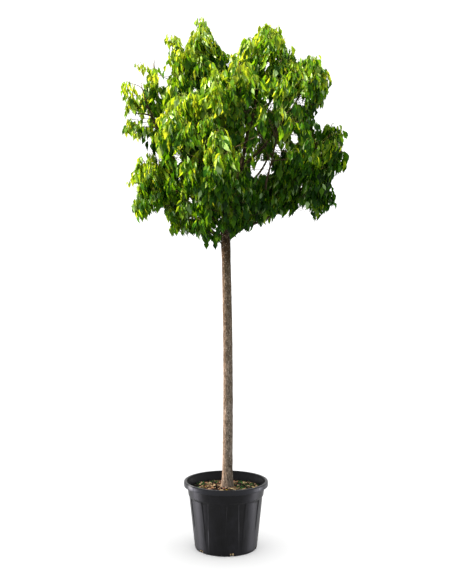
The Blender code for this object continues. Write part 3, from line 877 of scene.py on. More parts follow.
@dataclass(frozen=True)
class LeafFlesh:
    """A living leaf: a waxy upper skin over thin flesh.

    It gives the eye a soft gloss from the front and a yellower glow where light comes through.
    """

    name: str
    skin: str
    glow: str
    through: float
    roughness: float = 0.38
    shine: float = 0.09

    def build(self) -> Material:
        """Returns the material: one plain colour, part of it lit from behind."""
        made, shader, output = new_material(self.name)
        tree = made.node_tree
        look = {"Base Color": linear(self.skin), "Roughness": self.roughness}
        set_node(shader, {**look, "Specular IOR Level": self.shine}, {})
        lit = add_node(tree, "ShaderNodeBsdfTranslucent", {"Color": linear(self.glow)})
        mixed = add_node(
            tree, "ShaderNodeMixShader", {"Fac": self.through}, {1: shader.outputs[0], 2: lit}
        )
        set_node(output, {}, {"Surface": mixed})
        return made


class Tint(Enum):
    """Painted light and shade: the greens dealt to the leaves, full sun to deep shade, and the odd ones.
    """

    # Painted light and shade: these six are lit and shaded copies of one leaf green.
    SUNLIT = LeafFlesh("leaf_sunlit", "4c6b0f", "a4af26", 0.46, 0.36, 0.18)
    BRIGHT = LeafFlesh("leaf_bright", "365c0a", "829e18", 0.45, 0.36, 0.16)
    FRESH = LeafFlesh("leaf_fresh", "264b05", "61880d", 0.42)
    MIDDLE = LeafFlesh("leaf_middle", "193d03", "467205", 0.38)
    DEEP = LeafFlesh("leaf_deep", "103003", "315c02", 0.34)
    SHADE = LeafFlesh("leaf_shade", "0a2302", "234802", 0.3)
    # Pale leaflets: partly the variegated leaves, partly painted whitish sheen.
    PALE = LeafFlesh("leaf_pale", "6f8f58", "94ab50", 0.3, 0.34, 0.35)
    YELLOW = LeafFlesh("leaf_yellow", "5e6c14", "949c26", 0.44)


GREENS = (Tint.SUNLIT, Tint.BRIGHT, Tint.FRESH, Tint.MIDDLE, Tint.DEEP, Tint.SHADE)


def finished(name: str, mesh: Mesh, look: Material, nodes: Iterable[str] = ()) -> Object:
    """Puts a mesh in the scene as a piece of the tree.

    Args:
        name: The piece's name.
        mesh: Its mesh, in place.
        look: Its material.
        nodes: The solids that it stands for.

    Returns:
        The piece.
    """
    piece = bpy.data.objects.new(name, mesh)
    bpy.context.scene.collection.objects.link(piece)
    mesh.materials.clear()
    mesh.materials.append(look)
    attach(piece, BODY)
    if nodes:
        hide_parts(*nodes)
    log.info("%s: %d faces", name, len(mesh.polygons))
    return piece


def mesh_of(bm: BMesh, name: str, sharp: float = 40) -> Mesh:
    """Turns a bmesh into a smoothly shaded mesh, and frees it.

    Args:
        bm: The bmesh.
        name: The mesh's name.
        sharp: The angle in degrees past which an edge stays sharp.

    Returns:
        The mesh.
    """
    mesh = bpy.data.meshes.new(name)
    bm.to_mesh(mesh)
    bm.free()
    mesh.shade_smooth()
    mesh.set_sharp_from_angle(angle=radians(sharp))
    return mesh


def walls(rings: int, sides: int) -> list[tuple[int, int, int]]:
    """Returns the triangles between a tube's rings.

    Args:
        rings: How many rings of points it has.
        sides: How many points a ring has.

    Returns:
        Rows of three indices into the points.
    """
    faces = []
    for first in range(0, (rings - 1) * sides, sides):
        for side in range(sides):
            a, b = first + side, first + (side + 1) % sides
            faces += [(a, b, b + sides), (a, b + sides, a + sides)]
    return faces


class Pile:
    """Many small shapes gathered as arrays, to be joined into one mesh."""

    def __init__(self) -> None:
        """Starts empty."""
        self.points: list[np.ndarray] = []
        self.faces: list[np.ndarray] = []
        self.count = 0

    def add(self, points: np.ndarray, faces: np.ndarray) -> None:
        """Adds one shape.

        Args:
            points: Its points, one row each.
            faces: Its triangles, as rows of three indices into points.
        """
        self.points.append(points)
        self.faces.append(faces + self.count)
        self.count += len(points)

    def copies(self, shape: np.ndarray, faces: np.ndarray, turns: np.ndarray, roots: np.ndarray) -> None:
        """Adds many copies of one shape.

        Args:
            shape: The shape's points.
            faces: Its triangles.
            turns: One 3 by 3 matrix a copy.
            roots: Where each copy's origin goes.
        """
        points = np.einsum("nij,kj->nki", turns, shape) + roots[:, None, :]
        offsets = np.arange(len(turns)) * len(shape)
        self.add(points.reshape(-1, 3), (faces[None] + offsets[:, None, None]).reshape(-1, 3))

    def tube(self, path: list[Vector], radii: list[float], sides: int) -> None:
        """Adds a closed tapering tube.

        Args:
            path: Its middle line.
            radii: Its radius at each point.
            sides: How many sides it has.
        """
        angles = np.arange(sides) * tau / sides
        ring = np.stack([np.cos(angles), np.sin(angles), np.zeros(sides)], axis=1)
        rings = [
            np.array(point) + ring @ np.array(turn).T * radius
            for point, turn, radius in zip(path, frames(path), radii)
        ]
        tip = np.array(path[-1])[None]
        faces = walls(len(path), sides)
        last = (len(path) - 1) * sides
        for side in range(sides):
            faces.append((last + side, last + (side + 1) % sides, last + sides))
        for side in range(1, sides - 1):
            faces.append((0, side + 1, side))
        self.add(np.concatenate([*rings, tip]), np.array(faces))

    def mesh(self, name: str) -> Mesh:
        """Joins everything added, smoothly shaded.

        Args:
            name: The mesh's name.

        Returns:
            The mesh.
        """
        mesh = bpy.data.meshes.new(name)
        points, faces = np.concatenate(self.points), np.concatenate(self.faces)
        mesh.from_pydata(points, [], faces, shade_flat=False)
        return mesh


Relief = Callable[[float, float, Vector], float]


@dataclass
class Sleeve:
    """A grid wrapped round a path into a closed tube that carries relief."""

    path: list[Vector]
    radii: list[float]
    sides: int
    relief: Relief

    def build(self) -> BMesh:
        """Wraps the grid and closes its seam and ends.

        Returns:
            The tube. Relief gets the angle, the distance along and the bare point.
        """
        lengths = [0.0]
        for before, after in pairwise(self.path):
            lengths.append(lengths[-1] + (after - before).length)
        turns = frames(self.path)
        rings = len(self.path) - 1
        bm = bmesh.new()
        bmesh.ops.create_grid(bm, x_segments=self.sides, y_segments=rings, size=0.5)
        for vert in bm.verts:
            angle = (vert.co.x + 0.5) * tau
            ring = round((vert.co.y + 0.5) * rings)
            if round((vert.co.x + 0.5) * self.sides) == self.sides:
                angle = 0.0
            out = turns[ring] @ Vector((cos(angle), sin(angle), 0))
            bare = self.path[ring] + out * self.radii[ring]
            vert.co = bare + out * self.relief(angle, lengths[ring], bare)
        bmesh.ops.remove_doubles(bm, verts=bm.verts, dist=TINY)
        open_edges = [edge for edge in bm.edges if edge.is_boundary]
        bmesh.ops.holes_fill(bm, edges=open_edges, sides=0)
        bmesh.ops.recalc_face_normals(bm, faces=bm.faces)
        return bm


class Scar(NamedTuple):
    """A pruned side shoot: its height, its angle in degrees, its radius and how far it stands out."""

    height: float
    angle: float
    radius: float
    stand: float


@dataclass
class Trunk:
    """The clear stem: true taper, a slight bow, buttresses at its foot and a swollen head."""

    skeleton: Skeleton
    foot_radius: float = 0.0272
    head_radius: float = 0.0232
    flare: float = 0.0095
    flare_height: float = 0.045
    swell: float = 0.003
    swell_start: float = 0.8
    lobes: int = 5
    lobe_depth: float = 0.11
    lobe_turn: float = 0.6
    dome: float = 0.024
    dome_shares: tuple[float, ...] = (0.25, 0.45, 0.65, 0.8, 0.92, 1.0)
    dome_tip: float = 0.12
    sides: int = 56
    rings: int = 330
    plate_mm: float = 9.0
    plate_stretch: float = 0.22
    crack_depth: float = 0.0011
    ridge_sharpness: float = 2.4
    ridge_share: float = 0.6
    fine_scale: float = 2.7
    fine_share: float = 0.35
    sway: float = 0.0011
    sways_per_metre: Triple = (24, 24, 16)
    scar_flatten: float = 0.8
    scar_hollow: float = 0.5
    hollow_sharpness: float = 9
    sharp: float = 60
    scars: tuple[Scar, ...] = (
        Scar(0.395, 195, 0.0055, 0.0035),
        Scar(1.208, 190, 0.005, 0.0032),
        Scar(1.5, -20, 0.016, 0.0022),
        Scar(0.7, -70, 0.006, 0.0014),
        Scar(0.93, -110, 0.007, 0.0016),
        Scar(1.08, 60, 0.006, 0.0016),
        Scar(1.34, -60, 0.007, 0.0015),
        Scar(0.56, 120, 0.0065, 0.0015),
    )

    def radius(self, height: float) -> float:
        """Returns the mean radius at a height."""
        foot, head = self.skeleton.trunk_foot[2], self.skeleton.trunk_head[2]
        climb = height - foot
        share = climb / (head - foot)
        swell = self.swell * ease((share - self.swell_start) / (1 - self.swell_start))
        flare = self.flare * exp(-climb / self.flare_height)
        return blend(self.foot_radius, self.head_radius, share) + swell + flare

    def relief(self, angle: float, length: float, point: Vector) -> float:
        """Returns how far the bark stands out at a place.

        Args:
            angle: The angle round the trunk.
            length: The distance from the foot.
            point: The bare point.

        Returns:
            Metres outwards.
        """
        radius = self.radius(point.z)
        lobed = self.lobe_depth * exp(-length / self.flare_height)
        out = radius * lobed * cos(self.lobes * angle + self.lobe_turn)
        plate = 1000 / self.plate_mm
        drawn = Vector((point.x * plate, point.y * plate, point.z * plate * self.plate_stretch))
        ridge = 1 - abs(noise.noise(drawn)) * self.ridge_sharpness
        fine = noise.noise(drawn * self.fine_scale)
        cracked = self.crack_depth * (ridge - 0.5) * self.ridge_share
        out += cracked + self.crack_depth * self.fine_share * fine
        swayed = Vector(a * b for a, b in zip(point, self.sways_per_metre))
        out += self.sway * noise.noise(swayed)
        for scar in self.scars:
            turn = remainder(angle - radians(scar.angle), tau) * radius
            away = hypot(turn, (point.z - scar.height) * self.scar_flatten) / scar.radius
            hollow = self.scar_hollow * exp(-self.hollow_sharpness * away * away)
            out += scar.stand * exp(-away * away) * (1 - hollow)
        return out

    def build(self) -> Object:
        """Returns the trunk's piece."""
        path = [self.skeleton.trunk_point(share) for share in shares(self.rings)]
        radii = [self.radius(point.z) for point in path]
        top, head = path[-1], radii[-1]
        for share in self.dome_shares:
            path.append(top + UP * self.dome * share)
            radii.append(head * max(sqrt(1 - share * share), self.dome_tip))
        sleeve = Sleeve(path, radii, self.sides, self.relief)
        mesh = mesh_of(sleeve.build(), "trunk_bark", self.sharp)
        return finished("trunk_bark", mesh, TRUNK_BARK.build(), ["trunk"])


@dataclass
class Boughs:
    """The limbs, each a tapering tube with a collar at its foot and faint rings of old buds."""

    skeleton: Skeleton
    sides: int = 14
    spacing: float = 0.006
    fewest_rings: int = 12
    collar: float = 0.35
    collar_length: float = 0.022
    bud_spacing: float = 0.055
    bud_width: float = 0.004
    bud_stand: float = 0.0009
    roughness: float = 0.0007
    fine_per_metre: float = 130
    broad_per_metre: float = 45
    broad_share: float = 0.6
    flute: float = 0.0004
    flutes: int = 3
    flute_twist: float = 20
    sharp: float = 60

    def relief(self, angle: float, length: float, point: Vector) -> float:
        """Returns how far the bark stands out at a place.

        Args:
            angle: The angle round the bough.
            length: The distance from its foot.
            point: The bare point.

        Returns:
            Metres outwards.
        """
        ring = remainder(length, self.bud_spacing) / self.bud_width
        buds = self.bud_stand * exp(-ring * ring)
        grain = noise.noise(point * self.fine_per_metre)
        grain = grain + self.broad_share * noise.noise(point * self.broad_per_metre)
        fluted = self.flute * cos(self.flutes * angle + length * self.flute_twist)
        return buds + self.roughness * grain + fluted

    def build_one(self, name: str, look: Material) -> Object:
        """Builds one bough.

        Args:
            name: The bough's name.
            look: Its bark.

        Returns:
            Its piece.
        """
        knots = self.skeleton.paths[name]
        length = sum((after - before).length for before, after in pairwise(knots))
        path = rounded(knots, max(int(length / self.spacing), self.fewest_rings))
        count = len(path) - 1
        radii = []
        for index in range(count + 1):
            bare = self.skeleton.limb_radius(name, index / count)
            collar = self.collar * exp(-index * length / count / self.collar_length)
            radii.append(bare * (1 + collar))
        sleeve = Sleeve(path, radii, self.sides, self.relief)
        mesh = mesh_of(sleeve.build(), f"bough_{name}_bark", self.sharp)
        return finished(mesh.name, mesh, look, [f"bough_{name}"])

    def build(self) -> list[Object]:
        """Returns every bough's piece."""
        look = BOUGH_BARK.build()
        return [self.build_one(name, look) for name in LIMBS]


@dataclass(frozen=True)
class LeafletForm:
    """One leaflet, a unit long: half its toothed edge from root to tip, its fold and its bend."""

    edge: tuple[tuple[float, float], ...]
    fold: float
    bend: float
    ripple: float = 0.02
    rib: tuple[float, ...] = (0.0, 0.26, 0.52, 0.77, 1.0)

    def chain(self, side: int) -> list[Vector]:
        """Returns the points along one edge, between the root and the tip."""
        points = []
        for index, (x, y) in enumerate(self.edge):
            lift = self.fold * y + self.ripple * (-1) ** index
            points.append(Vector((x, side * y, lift - self.bend * x * x)))
        return points

    def arrays(self) -> tuple[np.ndarray, np.ndarray]:
        """Builds the leaflet.

        Returns:
            Its points, with X along it and +Z up, and its triangles.
        """
        rib = [Vector((x, 0, -self.bend * x * x)) for x in self.rib]
        points = list(rib)
        faces = []
        for side in (1, -1):
            first = len(points)
            points += self.chain(side)
            edge = [0, *range(first, len(points)), len(rib) - 1]
            line = list(range(len(rib)))
            i = j = 0
            while i < len(line) - 1 or j < len(edge) - 1:
                edge_done = j == len(edge) - 1
                rib_next = i < len(line) - 1 and (
                    edge_done or points[line[i + 1]].x <= points[edge[j + 1]].x
                )
                if rib_next:
                    face = (line[i], line[i + 1], edge[j])
                    i += 1
                else:
                    face = (line[i], edge[j + 1], edge[j])
                    j += 1
                if len(set(face)) == 3:
                    faces.append(face if side == 1 else face[::-1])
        return np.array(points), np.array(faces)


SIDE_EDGE = (
    (0.07, 0.055), (0.2, 0.15), (0.36, 0.205), (0.49, 0.22), (0.53, 0.185), (0.67, 0.16),
    (0.71, 0.12), (0.87, 0.048),
)
END_EDGE = (
    (0.08, 0.06), (0.22, 0.17), (0.36, 0.25), (0.46, 0.275), (0.49, 0.215), (0.63, 0.19),
    (0.68, 0.13), (0.86, 0.05),
)
LEAFLETS = (
    LeafletForm(SIDE_EDGE, 0.6, 0.16),
    LeafletForm(SIDE_EDGE, 0.35, 0.3),
    LeafletForm(SIDE_EDGE, 0.9, 0.08),
    LeafletForm(END_EDGE, 0.55, 0.2),
    LeafletForm(END_EDGE, 0.3, 0.34),
)
SIDE_FORMS = (0, 1, 2)
END_FORMS = (3, 4)


class Blade(NamedTuple):
    """One leaflet in place: its form, its matrix and its root."""

    form: int
    turn: Matrix
    root: Vector


class Spray(NamedTuple):
    """What one spray's leaves share: a space, or None out of their mass, and how they grow.

    Scale is their size beside a full leaf, and free ones may leave the crown.
    """

    space: Space | None
    tint: Tint
    draw: Random
    scale: float = 1.0
    free: bool = False


@dataclass(frozen=True)
class Sunlight:
    """How much light a place in the crown gets, and so which green its leaves are dealt.

    The greens are numbered from full sun to deep shade. A spray starts from the mean, and each
    weight says how many greens lighter or darker a measure makes it.
    """

    way: Triple = (-0.62, -0.2, 0.72)
    middle: Triple = (0.03, 0, 2.2)
    reach: Triple = (0.6, 0.5, 0.6)
    mean: float = 2.55
    side_weight: float = 1.05
    slope_weight: float = 1.8
    depth_weight: float = 1.4
    spray_spread: float = 0.85
    leaflet_spread: float = 1.1
    probe: float = 0.02
    least_fullness: float = 0.1
    yellow_chance: float = 0.012
    yellow_greens: int = 3
    # Pale leaflets, partly variegation and partly painted sheen, go only to the lighter greens.
    pale_sheen_chance: float = 0.06
    pale_sheen_greens: int = 4

    def tint_at(self, skeleton: Skeleton, point: Vector, draw: Random) -> Tint:
        """Deals a spray its green by how much light its place in the crown gets.

        Args:
            skeleton: The crown's lines and spaces.
            point: Where the spray is.
            draw: The spray's own draw.

        Returns:
            The tint.
        """
        sun = Vector(self.way).normalized()
        scaled = measured(point - Vector(self.middle), self.reach)
        depth = 1 - min(scaled.length, 1)
        fullness = skeleton.fullness(point)
        axes = Matrix.Identity(3)
        slope = Vector(fullness - skeleton.fullness(point + axis * self.probe) for axis in axes)
        outer = min(CROWN_RIM / max(fullness, self.least_fullness), 1)
        exposed = slope.normalized().dot(sun) * outer
        value = self.mean - self.side_weight * scaled.dot(sun) - self.slope_weight * exposed
        value = value + self.depth_weight * depth + draw.gauss(0, self.spray_spread)
        return GREENS[int(min(max(value, 0), len(GREENS) - 1))]

    def shifted(self, tint: Tint, draw: Random) -> Tint:
        """Returns a leaflet's own green: often a step or two off its spray's, at times an odd one."""
        odd = draw.random()
        place = GREENS.index(tint)
        if odd < self.yellow_chance and place < self.yellow_greens:
            return Tint.YELLOW
        if odd > 1 - self.pale_sheen_chance and place < self.pale_sheen_greens:
            return Tint.PALE
        place += round(draw.gauss(0, self.leaflet_spread))
        return GREENS[min(max(place, 0), len(GREENS) - 1)]


@dataclass(frozen=True)
class LeafHabit:
    """How a compound leaf is built: its arching stalk, and the leaflets that hang from it.

    Stalks, sizes and margins are metres, turns are radians, and the rest are shares.
    """

    stalk: Span = (0.022, 0.055)
    stalk_radius: float = 0.0008
    stalk_taper: float = 0.6
    stalk_sides: int = 3
    elbow: float = 0.6
    carry: float = 0.5
    hang: Span = (0.8, 2.4)
    size: Span = (0.05, 0.086)
    width: Span = (0.78, 1.12)
    two_pairs: float = 0.45
    rachis: float = 0.46
    rachis_end: float = 0.85
    margin: float = 0.004
    face_swing: float = 1.3
    face_lift: Span = (0.1, 0.9)
    side_size: Span = (0.72, 0.95)
    side_stalk: Span = (0.004, 0.012)
    side_stalk_lean: float = 0.5
    side_spread: Span = (0.22, 0.6)
    side_droop: Span = (0.2, 0.9)
    side_roll: float = 0.65
    side_cant: float = 0.2
    end_spread: Span = (-0.25, 0.25)
    end_droop: Span = (0.0, 0.4)
    end_roll: float = 0.5
    pair_swing: Span = (-0.3, 0.3)
    pair_forward: Span = (0.3, 0.8)
    pair_lift: Span = (0.0, 0.5)
    retry_drop: float = 0.5
    retry_scale: float = 0.75
    tuft_pairs: int = 3
    tuft_spacing: float = 0.01


@dataclass(frozen=True)
class ShootHabit:
    """How leafy shoots stand on a side twig, and where they are left out to let light in."""

    spacing: float = 0.04
    offset: float = 0.7
    last: float = 0.92
    length: Span = (0.03, 0.075)
    shortest: float = 0.02
    forward: Span = (0.5, 0.9)
    lift: float = 0.15
    rise: Span = (0.1, 0.5)
    foot_share: float = 0.7
    tip_share: float = 0.55
    sides: int = 4
    margin: float = 0.003
    leaf_spacing: float = 0.034
    leaf_offset: float = 0.6
    end_scale: float = 0.85
    stub_chance: float = 0.7
    airy: float = 0.2
    airy_mm: float = 60.0
    bare_inside: float = 4.2
    bare_share: float = 0.6


@dataclass(frozen=True)
class TwigHabit:
    """How side twigs leave a mass's stem, in pairs, each pair turned from the last."""

    nodes: int = 9
    first: float = 0.08
    last: float = 0.95
    turn: float = pi / 4
    swing: Span = (-0.35, 0.35)
    lift: Span = (0.1, 0.5)
    forward: Span = (0.25, 0.65)
    room: Span = (0.8, 0.98)
    sag: Span = (-0.12, 0.02)
    longest: float = 0.24
    shortest: float = 0.03
    stride: float = 0.012
    knots: int = 5
    sides: int = 5
    margin: float = 0.003
    foot_share: float = 0.75
    thickest: float = 0.0028
    tip: float = 0.0012
    end_rise: float = 0.3
    end_scale: float = 0.9


@dataclass(frozen=True)
class StemHabit:
    """How a mass's stem carries on from its bough's tip: it tries a few leans for a clear way."""

    knots: int = 4
    seat_gap: float = 0.0003
    past_middle: float = 0.02
    rise: float = 0.9
    leans: int = 8
    lean_step: float = 0.35
    reach: float = 0.93
    pull: float = 0.4
    samples: int = 20
    clearance: float = 0.01
    rings: int = 10
    sides: int = 7
    tip: float = 0.0026
    tip_share: float = 0.7
    top_pairs: int = 3
    top_scale: float = 0.9


@dataclass(frozen=True)
class LoneHabit:
    """How a lone shoot runs from the stem to a tip of its own, and what a sprig carries."""

    samples: int = 30
    foot_drop: float = 0.08
    bow: float = 0.08
    pull: float = 0.3
    droop: float = 0.25
    knots: int = 7
    sides: int = 5
    tip: float = 0.0009
    sprig_thick: float = 0.0026
    sprig_spacing: float = 0.03
    sprig_leaf: float = 0.75
    sprig_tuft: float = 0.62


@dataclass(frozen=True)
class RimHabit:
    """How shoots reach the crown's rim: their spread over a mass and their leaves and tufts."""

    tufts: int = 28
    swing: Span = (-0.3, 0.3)
    inside: float = 2.2
    fullness: float = 1.75
    start: float = 0.5
    step: float = 0.006
    stand: float = 0.022
    tuck: float = 0.06
    longest: float = 0.28
    node_room: float = 0.05
    spacing: float = 0.035
    leaf_scale: float = 0.85
    tuft_scale: Span = (0.6, 0.85)
    thick: float = 0.0018


@dataclass
class Foliage:
    """Every mass's stem, twigs and compound leaves, grown by the rule of the tree's solids."""

    skeleton: Skeleton
    stem_habit: StemHabit = StemHabit()
    twig_habit: TwigHabit = TwigHabit()
    shoot_habit: ShootHabit = ShootHabit()
    leaf_habit: LeafHabit = LeafHabit()
    lone_habit: LoneHabit = LoneHabit()
    rim_habit: RimHabit = RimHabit()
    light: Sunlight = Sunlight()
    axis: tuple[float, float] = (0.03, 0.0)
    rim_swing: float = 1.6
    rim_mm: float = 60.0
    beyond: float = 1.35
    lone_fullness: float = 0.85
    thinned_front: float = 0.75
    thinned_back: float = 0.35
    bared_steps: int = 40
    bared_width: float = 0.011
    bared_top: float = 2.46

    def __post_init__(self) -> None:
        """Opens the piles, and lays the gaps that bare the shown boughs."""
        self.twigs = Pile()
        self.stalks = Pile()
        self.blades: dict[Tint, list[Blade]] = {tint: [] for tint in Tint}
        self.stems: dict[str, list[Vector]] = {}
        self.leaves = 0
        self.blocked, self.block_radii = self.skeleton.obstacles()
        self.bared: list[Gap] = []
        for name in SHOWN:
            for share in shares(self.bared_steps):
                place = seen(along(self.skeleton.paths[name], share)[0])
                if place.z < self.bared_top:
                    self.bared.append(Gap(place.x, place.z, self.bared_width))

    def clear(self, points: list[Vector], margin: float) -> bool:
        """Tells whether points lie clear of the trunk, the boughs and the sky gaps.

        Args:
            points: The points.
            margin: How far off the bark they have to be.

        Returns:
            True where all of them are clear.
        """
        away = np.linalg.norm(self.blocked[None] - np.array(points)[:, None], axis=2)
        if (away < self.block_radii + margin).any():
            return False
        return not any(in_gap(point, OPEN) for point in points)

    def within(self, space: Space | None, point: Vector, ragged: bool = True) -> bool:
        """Tells whether a point keeps to the crown near its mass. The crown's rim is ragged.

        Args:
            space: The mass's space, or None for a tuft or sprig that stands out of it.
            point: The point.
            ragged: Whether the rim swings in and out there.

        Returns:
            True inside.
        """
        if space is None:
            return self.skeleton.fullness(point) > self.lone_fullness
        if measured(point - space.middle, space.reach).length > self.beyond:
            return False
        swing = self.rim_swing * noise.noise(point * (1000 / self.rim_mm)) if ragged else 0.0
        return self.skeleton.fullness(point) > CROWN_RIM * exp(swing)

    def reach(self, space: Space, point: Vector, direction: Vector, most: float) -> float:
        """Returns how far a twig may run on inside the crown.

        Args:
            space: Its mass's space.
            point: Where it starts.
            direction: Where it heads.
            most: Its greatest length.

        Returns:
            The length in metres.
        """
        run = 0.0
        while run < most:
            place = point + direction * (run + self.twig_habit.stride)
            if not self.within(space, place, False) or in_gap(place, OPEN):
                break
            run += self.twig_habit.stride
        return run

    def stem(self, name: str) -> list[Vector]:
        """Draws a mass's stem: on from the bough's tip, up the first clear way.

        Args:
            name: The mass's name.

        Returns:
            The stem's knots.
        """
        habit = self.stem_habit
        space = self.skeleton.spaces[name]
        knots = self.skeleton.paths[name]
        tip = knots[-1]
        heading = (tip - knots[-2]).normalized()
        start = tip + heading * habit.seat_gap
        far = space.middle + (space.middle - tip).normalized() * habit.past_middle
        centres, radii = self.skeleton.obstacles(name)
        path = []
        for lean in range(habit.leans):
            aside = sideways(heading, lean * GOLDEN_ANGLE) * habit.lean_step * lean
            rise = (heading + UP * habit.rise + aside).normalized()
            end = far + rise * space.room(far, rise) * habit.reach
            span = (end - start).length
            controls = (start, start + heading * span * habit.pull, end)
            path = [bezier(controls, share) for share in shares(habit.knots)]
            samples = np.array([along(path, share)[0] for share in shares(habit.samples)])
            away = np.linalg.norm(centres[None] - samples[:, None], axis=2)
            if (away > radii + habit.clearance).all():
                break
        return path

    def spray(
        self, space: Space | None, point: Vector, draw: Random, scale: float = 1.0, free: bool = False
    ) -> Spray:
        """Returns a spray in the green of its place. Its values are those that a Spray has."""
        return Spray(space, self.light.tint_at(self.skeleton, point, draw), draw, scale, free)

    def leaflet(
        self, spray: Spray, root: Vector, line: Vector, face: Vector, length: float, form: int,
        tint: Tint,
    ) -> bool:
        """Hangs one leaflet.

        Args:
            spray: The spray that it belongs to.
            root: Where it joins its stalk.
            line: The way that it points.
            face: Roughly the way that its upper side faces.
            length: Its length.
            form: Its place in LEAFLETS.
            tint: Its green.

        Returns:
            True if it had room.
        """
        across = line.cross(face).normalized()
        upper = across.cross(line).normalized()
        width = length * spray.draw.uniform(*self.leaf_habit.width)
        places = [root + line * length * share for share in (0.5, 1.0)]
        if any(in_gap(place, OPEN) for place in places):
            return False
        if root.y < FRONT and any(in_gap(place, self.bared) for place in places):
            return False
        turn = Matrix((line * length, across * width, upper * length)).transposed()
        self.blades[tint].append(Blade(form, turn, root))
        return True

    def leaf(self, spray: Spray, root: Vector, way: Vector) -> bool:
        """Grows one compound leaf: an arching stalk, then leaflets that hang from it.

        Args:
            spray: The spray that it belongs to.
            root: Where its stalk leaves the twig.
            way: The way that the stalk sets out.

        Returns:
            True if it had room.
        """
        habit, draw = self.leaf_habit, spray.draw
        stalk = draw.uniform(*habit.stalk) * spray.scale
        size = draw.uniform(*habit.size) * spray.scale
        elbow = root + way * stalk * habit.elbow
        hang = (way * habit.carry - UP * draw.uniform(*habit.hang)).normalized()
        end = elbow + (way * habit.carry + hang).normalized() * stalk * (1 - habit.elbow)
        pairs = 2 if draw.random() < habit.two_pairs else 1
        rachis = size * habit.rachis
        tip = end + hang * (rachis * pairs + size)
        middle = end.lerp(tip, 0.5)
        if not (spray.free or self.within(spray.space, tip) and self.within(spray.space, middle)):
            return False
        if not self.clear([middle, tip], habit.margin):
            return False
        thinned = self.thinned_front if middle.y < FRONT else self.thinned_back
        if in_gap(middle, THIN) and draw.random() < thinned:
            return False
        out = Vector((root.x - self.axis[0], root.y - self.axis[1], 0)).normalized()
        swing = Matrix.Rotation(draw.uniform(-habit.face_swing, habit.face_swing), 3, UP)
        face = swing @ out + UP * draw.uniform(*habit.face_lift)
        level = hang.cross(face).normalized()
        joints = [root, elbow, end]
        hung = 0
        for pair in range(pairs):
            joint = end + hang * rachis * pair
            if pair:
                joints.append(joint)
            for side in (-1, 1):
                spread = level * side * draw.uniform(*habit.side_spread)
                line = (hang + spread - UP * draw.uniform(*habit.side_droop)).normalized()
                aside = spread + line * habit.side_stalk_lean
                start = joint + aside * draw.uniform(*habit.side_stalk)
                roll = Matrix.Rotation(draw.gauss(0, habit.side_roll), 3, line)
                lean = roll @ (face + level * side * habit.side_cant)
                length = size * draw.uniform(*habit.side_size)
                tint = self.light.shifted(spray.tint, draw)
                form = draw.choice(SIDE_FORMS)
                hung += self.leaflet(spray, start, line, lean, length, form, tint)
        last = end + hang * rachis * pairs * habit.rachis_end
        joints.append(last)
        spread = level * draw.uniform(*habit.end_spread)
        line = (hang + spread - UP * draw.uniform(*habit.end_droop)).normalized()
        lean = Matrix.Rotation(draw.gauss(0, habit.end_roll), 3, line) @ face
        form = draw.choice(END_FORMS)
        tint = self.light.shifted(spray.tint, draw)
        hung += self.leaflet(spray, last, line, lean, size, form, tint)
        if not hung:
            return False
        radius = habit.stalk_radius * spray.scale
        radii = [blend(radius, radius * habit.stalk_taper, share) for share in shares(len(joints))]
        self.stalks.tube(joints, radii, habit.stalk_sides)
        self.leaves += 1
        return True

    def leaf_pair(self, spray: Spray, point: Vector, line: Vector, turn: float) -> bool:
        """Grows the two leaves that face each other across a twig's node.

        Args:
            spray: The spray that they belong to.
            point: The node.
            line: The twig's direction there.
            turn: The angle round the twig.

        Returns:
            True if either had room.
        """
        habit, draw = self.leaf_habit, spray.draw
        smaller = spray._replace(scale=spray.scale * habit.retry_scale)
        grown = False
        for way in (0, pi):
            side = sideways(line, turn + way + draw.uniform(*habit.pair_swing))
            forward = line * draw.uniform(*habit.pair_forward)
            out = (side + forward + UP * draw.uniform(*habit.pair_lift)).normalized()
            lower = (out - UP * habit.retry_drop).normalized()
            grown |= self.leaf(spray, point, out) or self.leaf(smaller, point, lower)
        return grown

    def tuft(self, spray: Spray, point: Vector, line: Vector) -> bool:
        """Ends a shoot in a fan: small leaves all round its tip, spread like an umbrella.

        Args:
            spray: The tuft's spray.
            point: The shoot's tip.
            line: The shoot's direction there.

        Returns:
            True if any leaf had room.
        """
        turn = spray.draw.uniform(0, pi)
        up = (line + UP).normalized()
        grown = False
        for pair in range(self.leaf_habit.tuft_pairs):
            root = point - line * self.leaf_habit.tuft_spacing * pair
            grown |= self.leaf_pair(spray, root, up, turn + pair * pi / 3)
        return grown

    def shoot(
        self, space: Space, foot: Vector, heading: Vector, radius: float, length: float, draw: Random
    ) -> None:
        """Grows a leafy shoot: pairs of leaves, each turned across the last, and one at its tip.

        Args:
            space: The mass's space.
            foot: Where it starts.
            heading: Where it points.
            radius: Its foot's radius.
            length: Its length.
            draw: The twig's draw.
        """
        habit = self.shoot_habit
        if noise.noise(foot * (1000 / habit.airy_mm)) > habit.airy:
            return
        if self.skeleton.fullness(foot) > habit.bare_inside and draw.random() < habit.bare_share:
            return
        rise = (heading + UP * draw.uniform(*habit.rise)).normalized()
        elbow = foot + heading * length * 0.5
        end = elbow + rise * length * 0.5
        if not self.clear([elbow, end], habit.margin):
            return
        spray = self.spray(space, end, draw)
        tip = radius * habit.tip_share
        nodes = max(int(length / habit.leaf_spacing), 1)
        turn = draw.uniform(0, pi)
        grown = False
        for node in range(nodes):
            share = (node + habit.leaf_offset) / nodes
            point = foot.lerp(elbow, share * 2) if share < 0.5 else elbow.lerp(end, share * 2 - 1)
            grown |= self.leaf_pair(spray, point, heading, turn + node * pi / 2)
        last = spray._replace(scale=habit.end_scale)
        grown |= self.leaf_pair(last, end, rise, turn + nodes * pi / 2)
        if grown:
            radii = [radius, blend(radius, tip, 0.5), tip]
            self.twigs.tube([foot, elbow, end], radii, habit.sides)

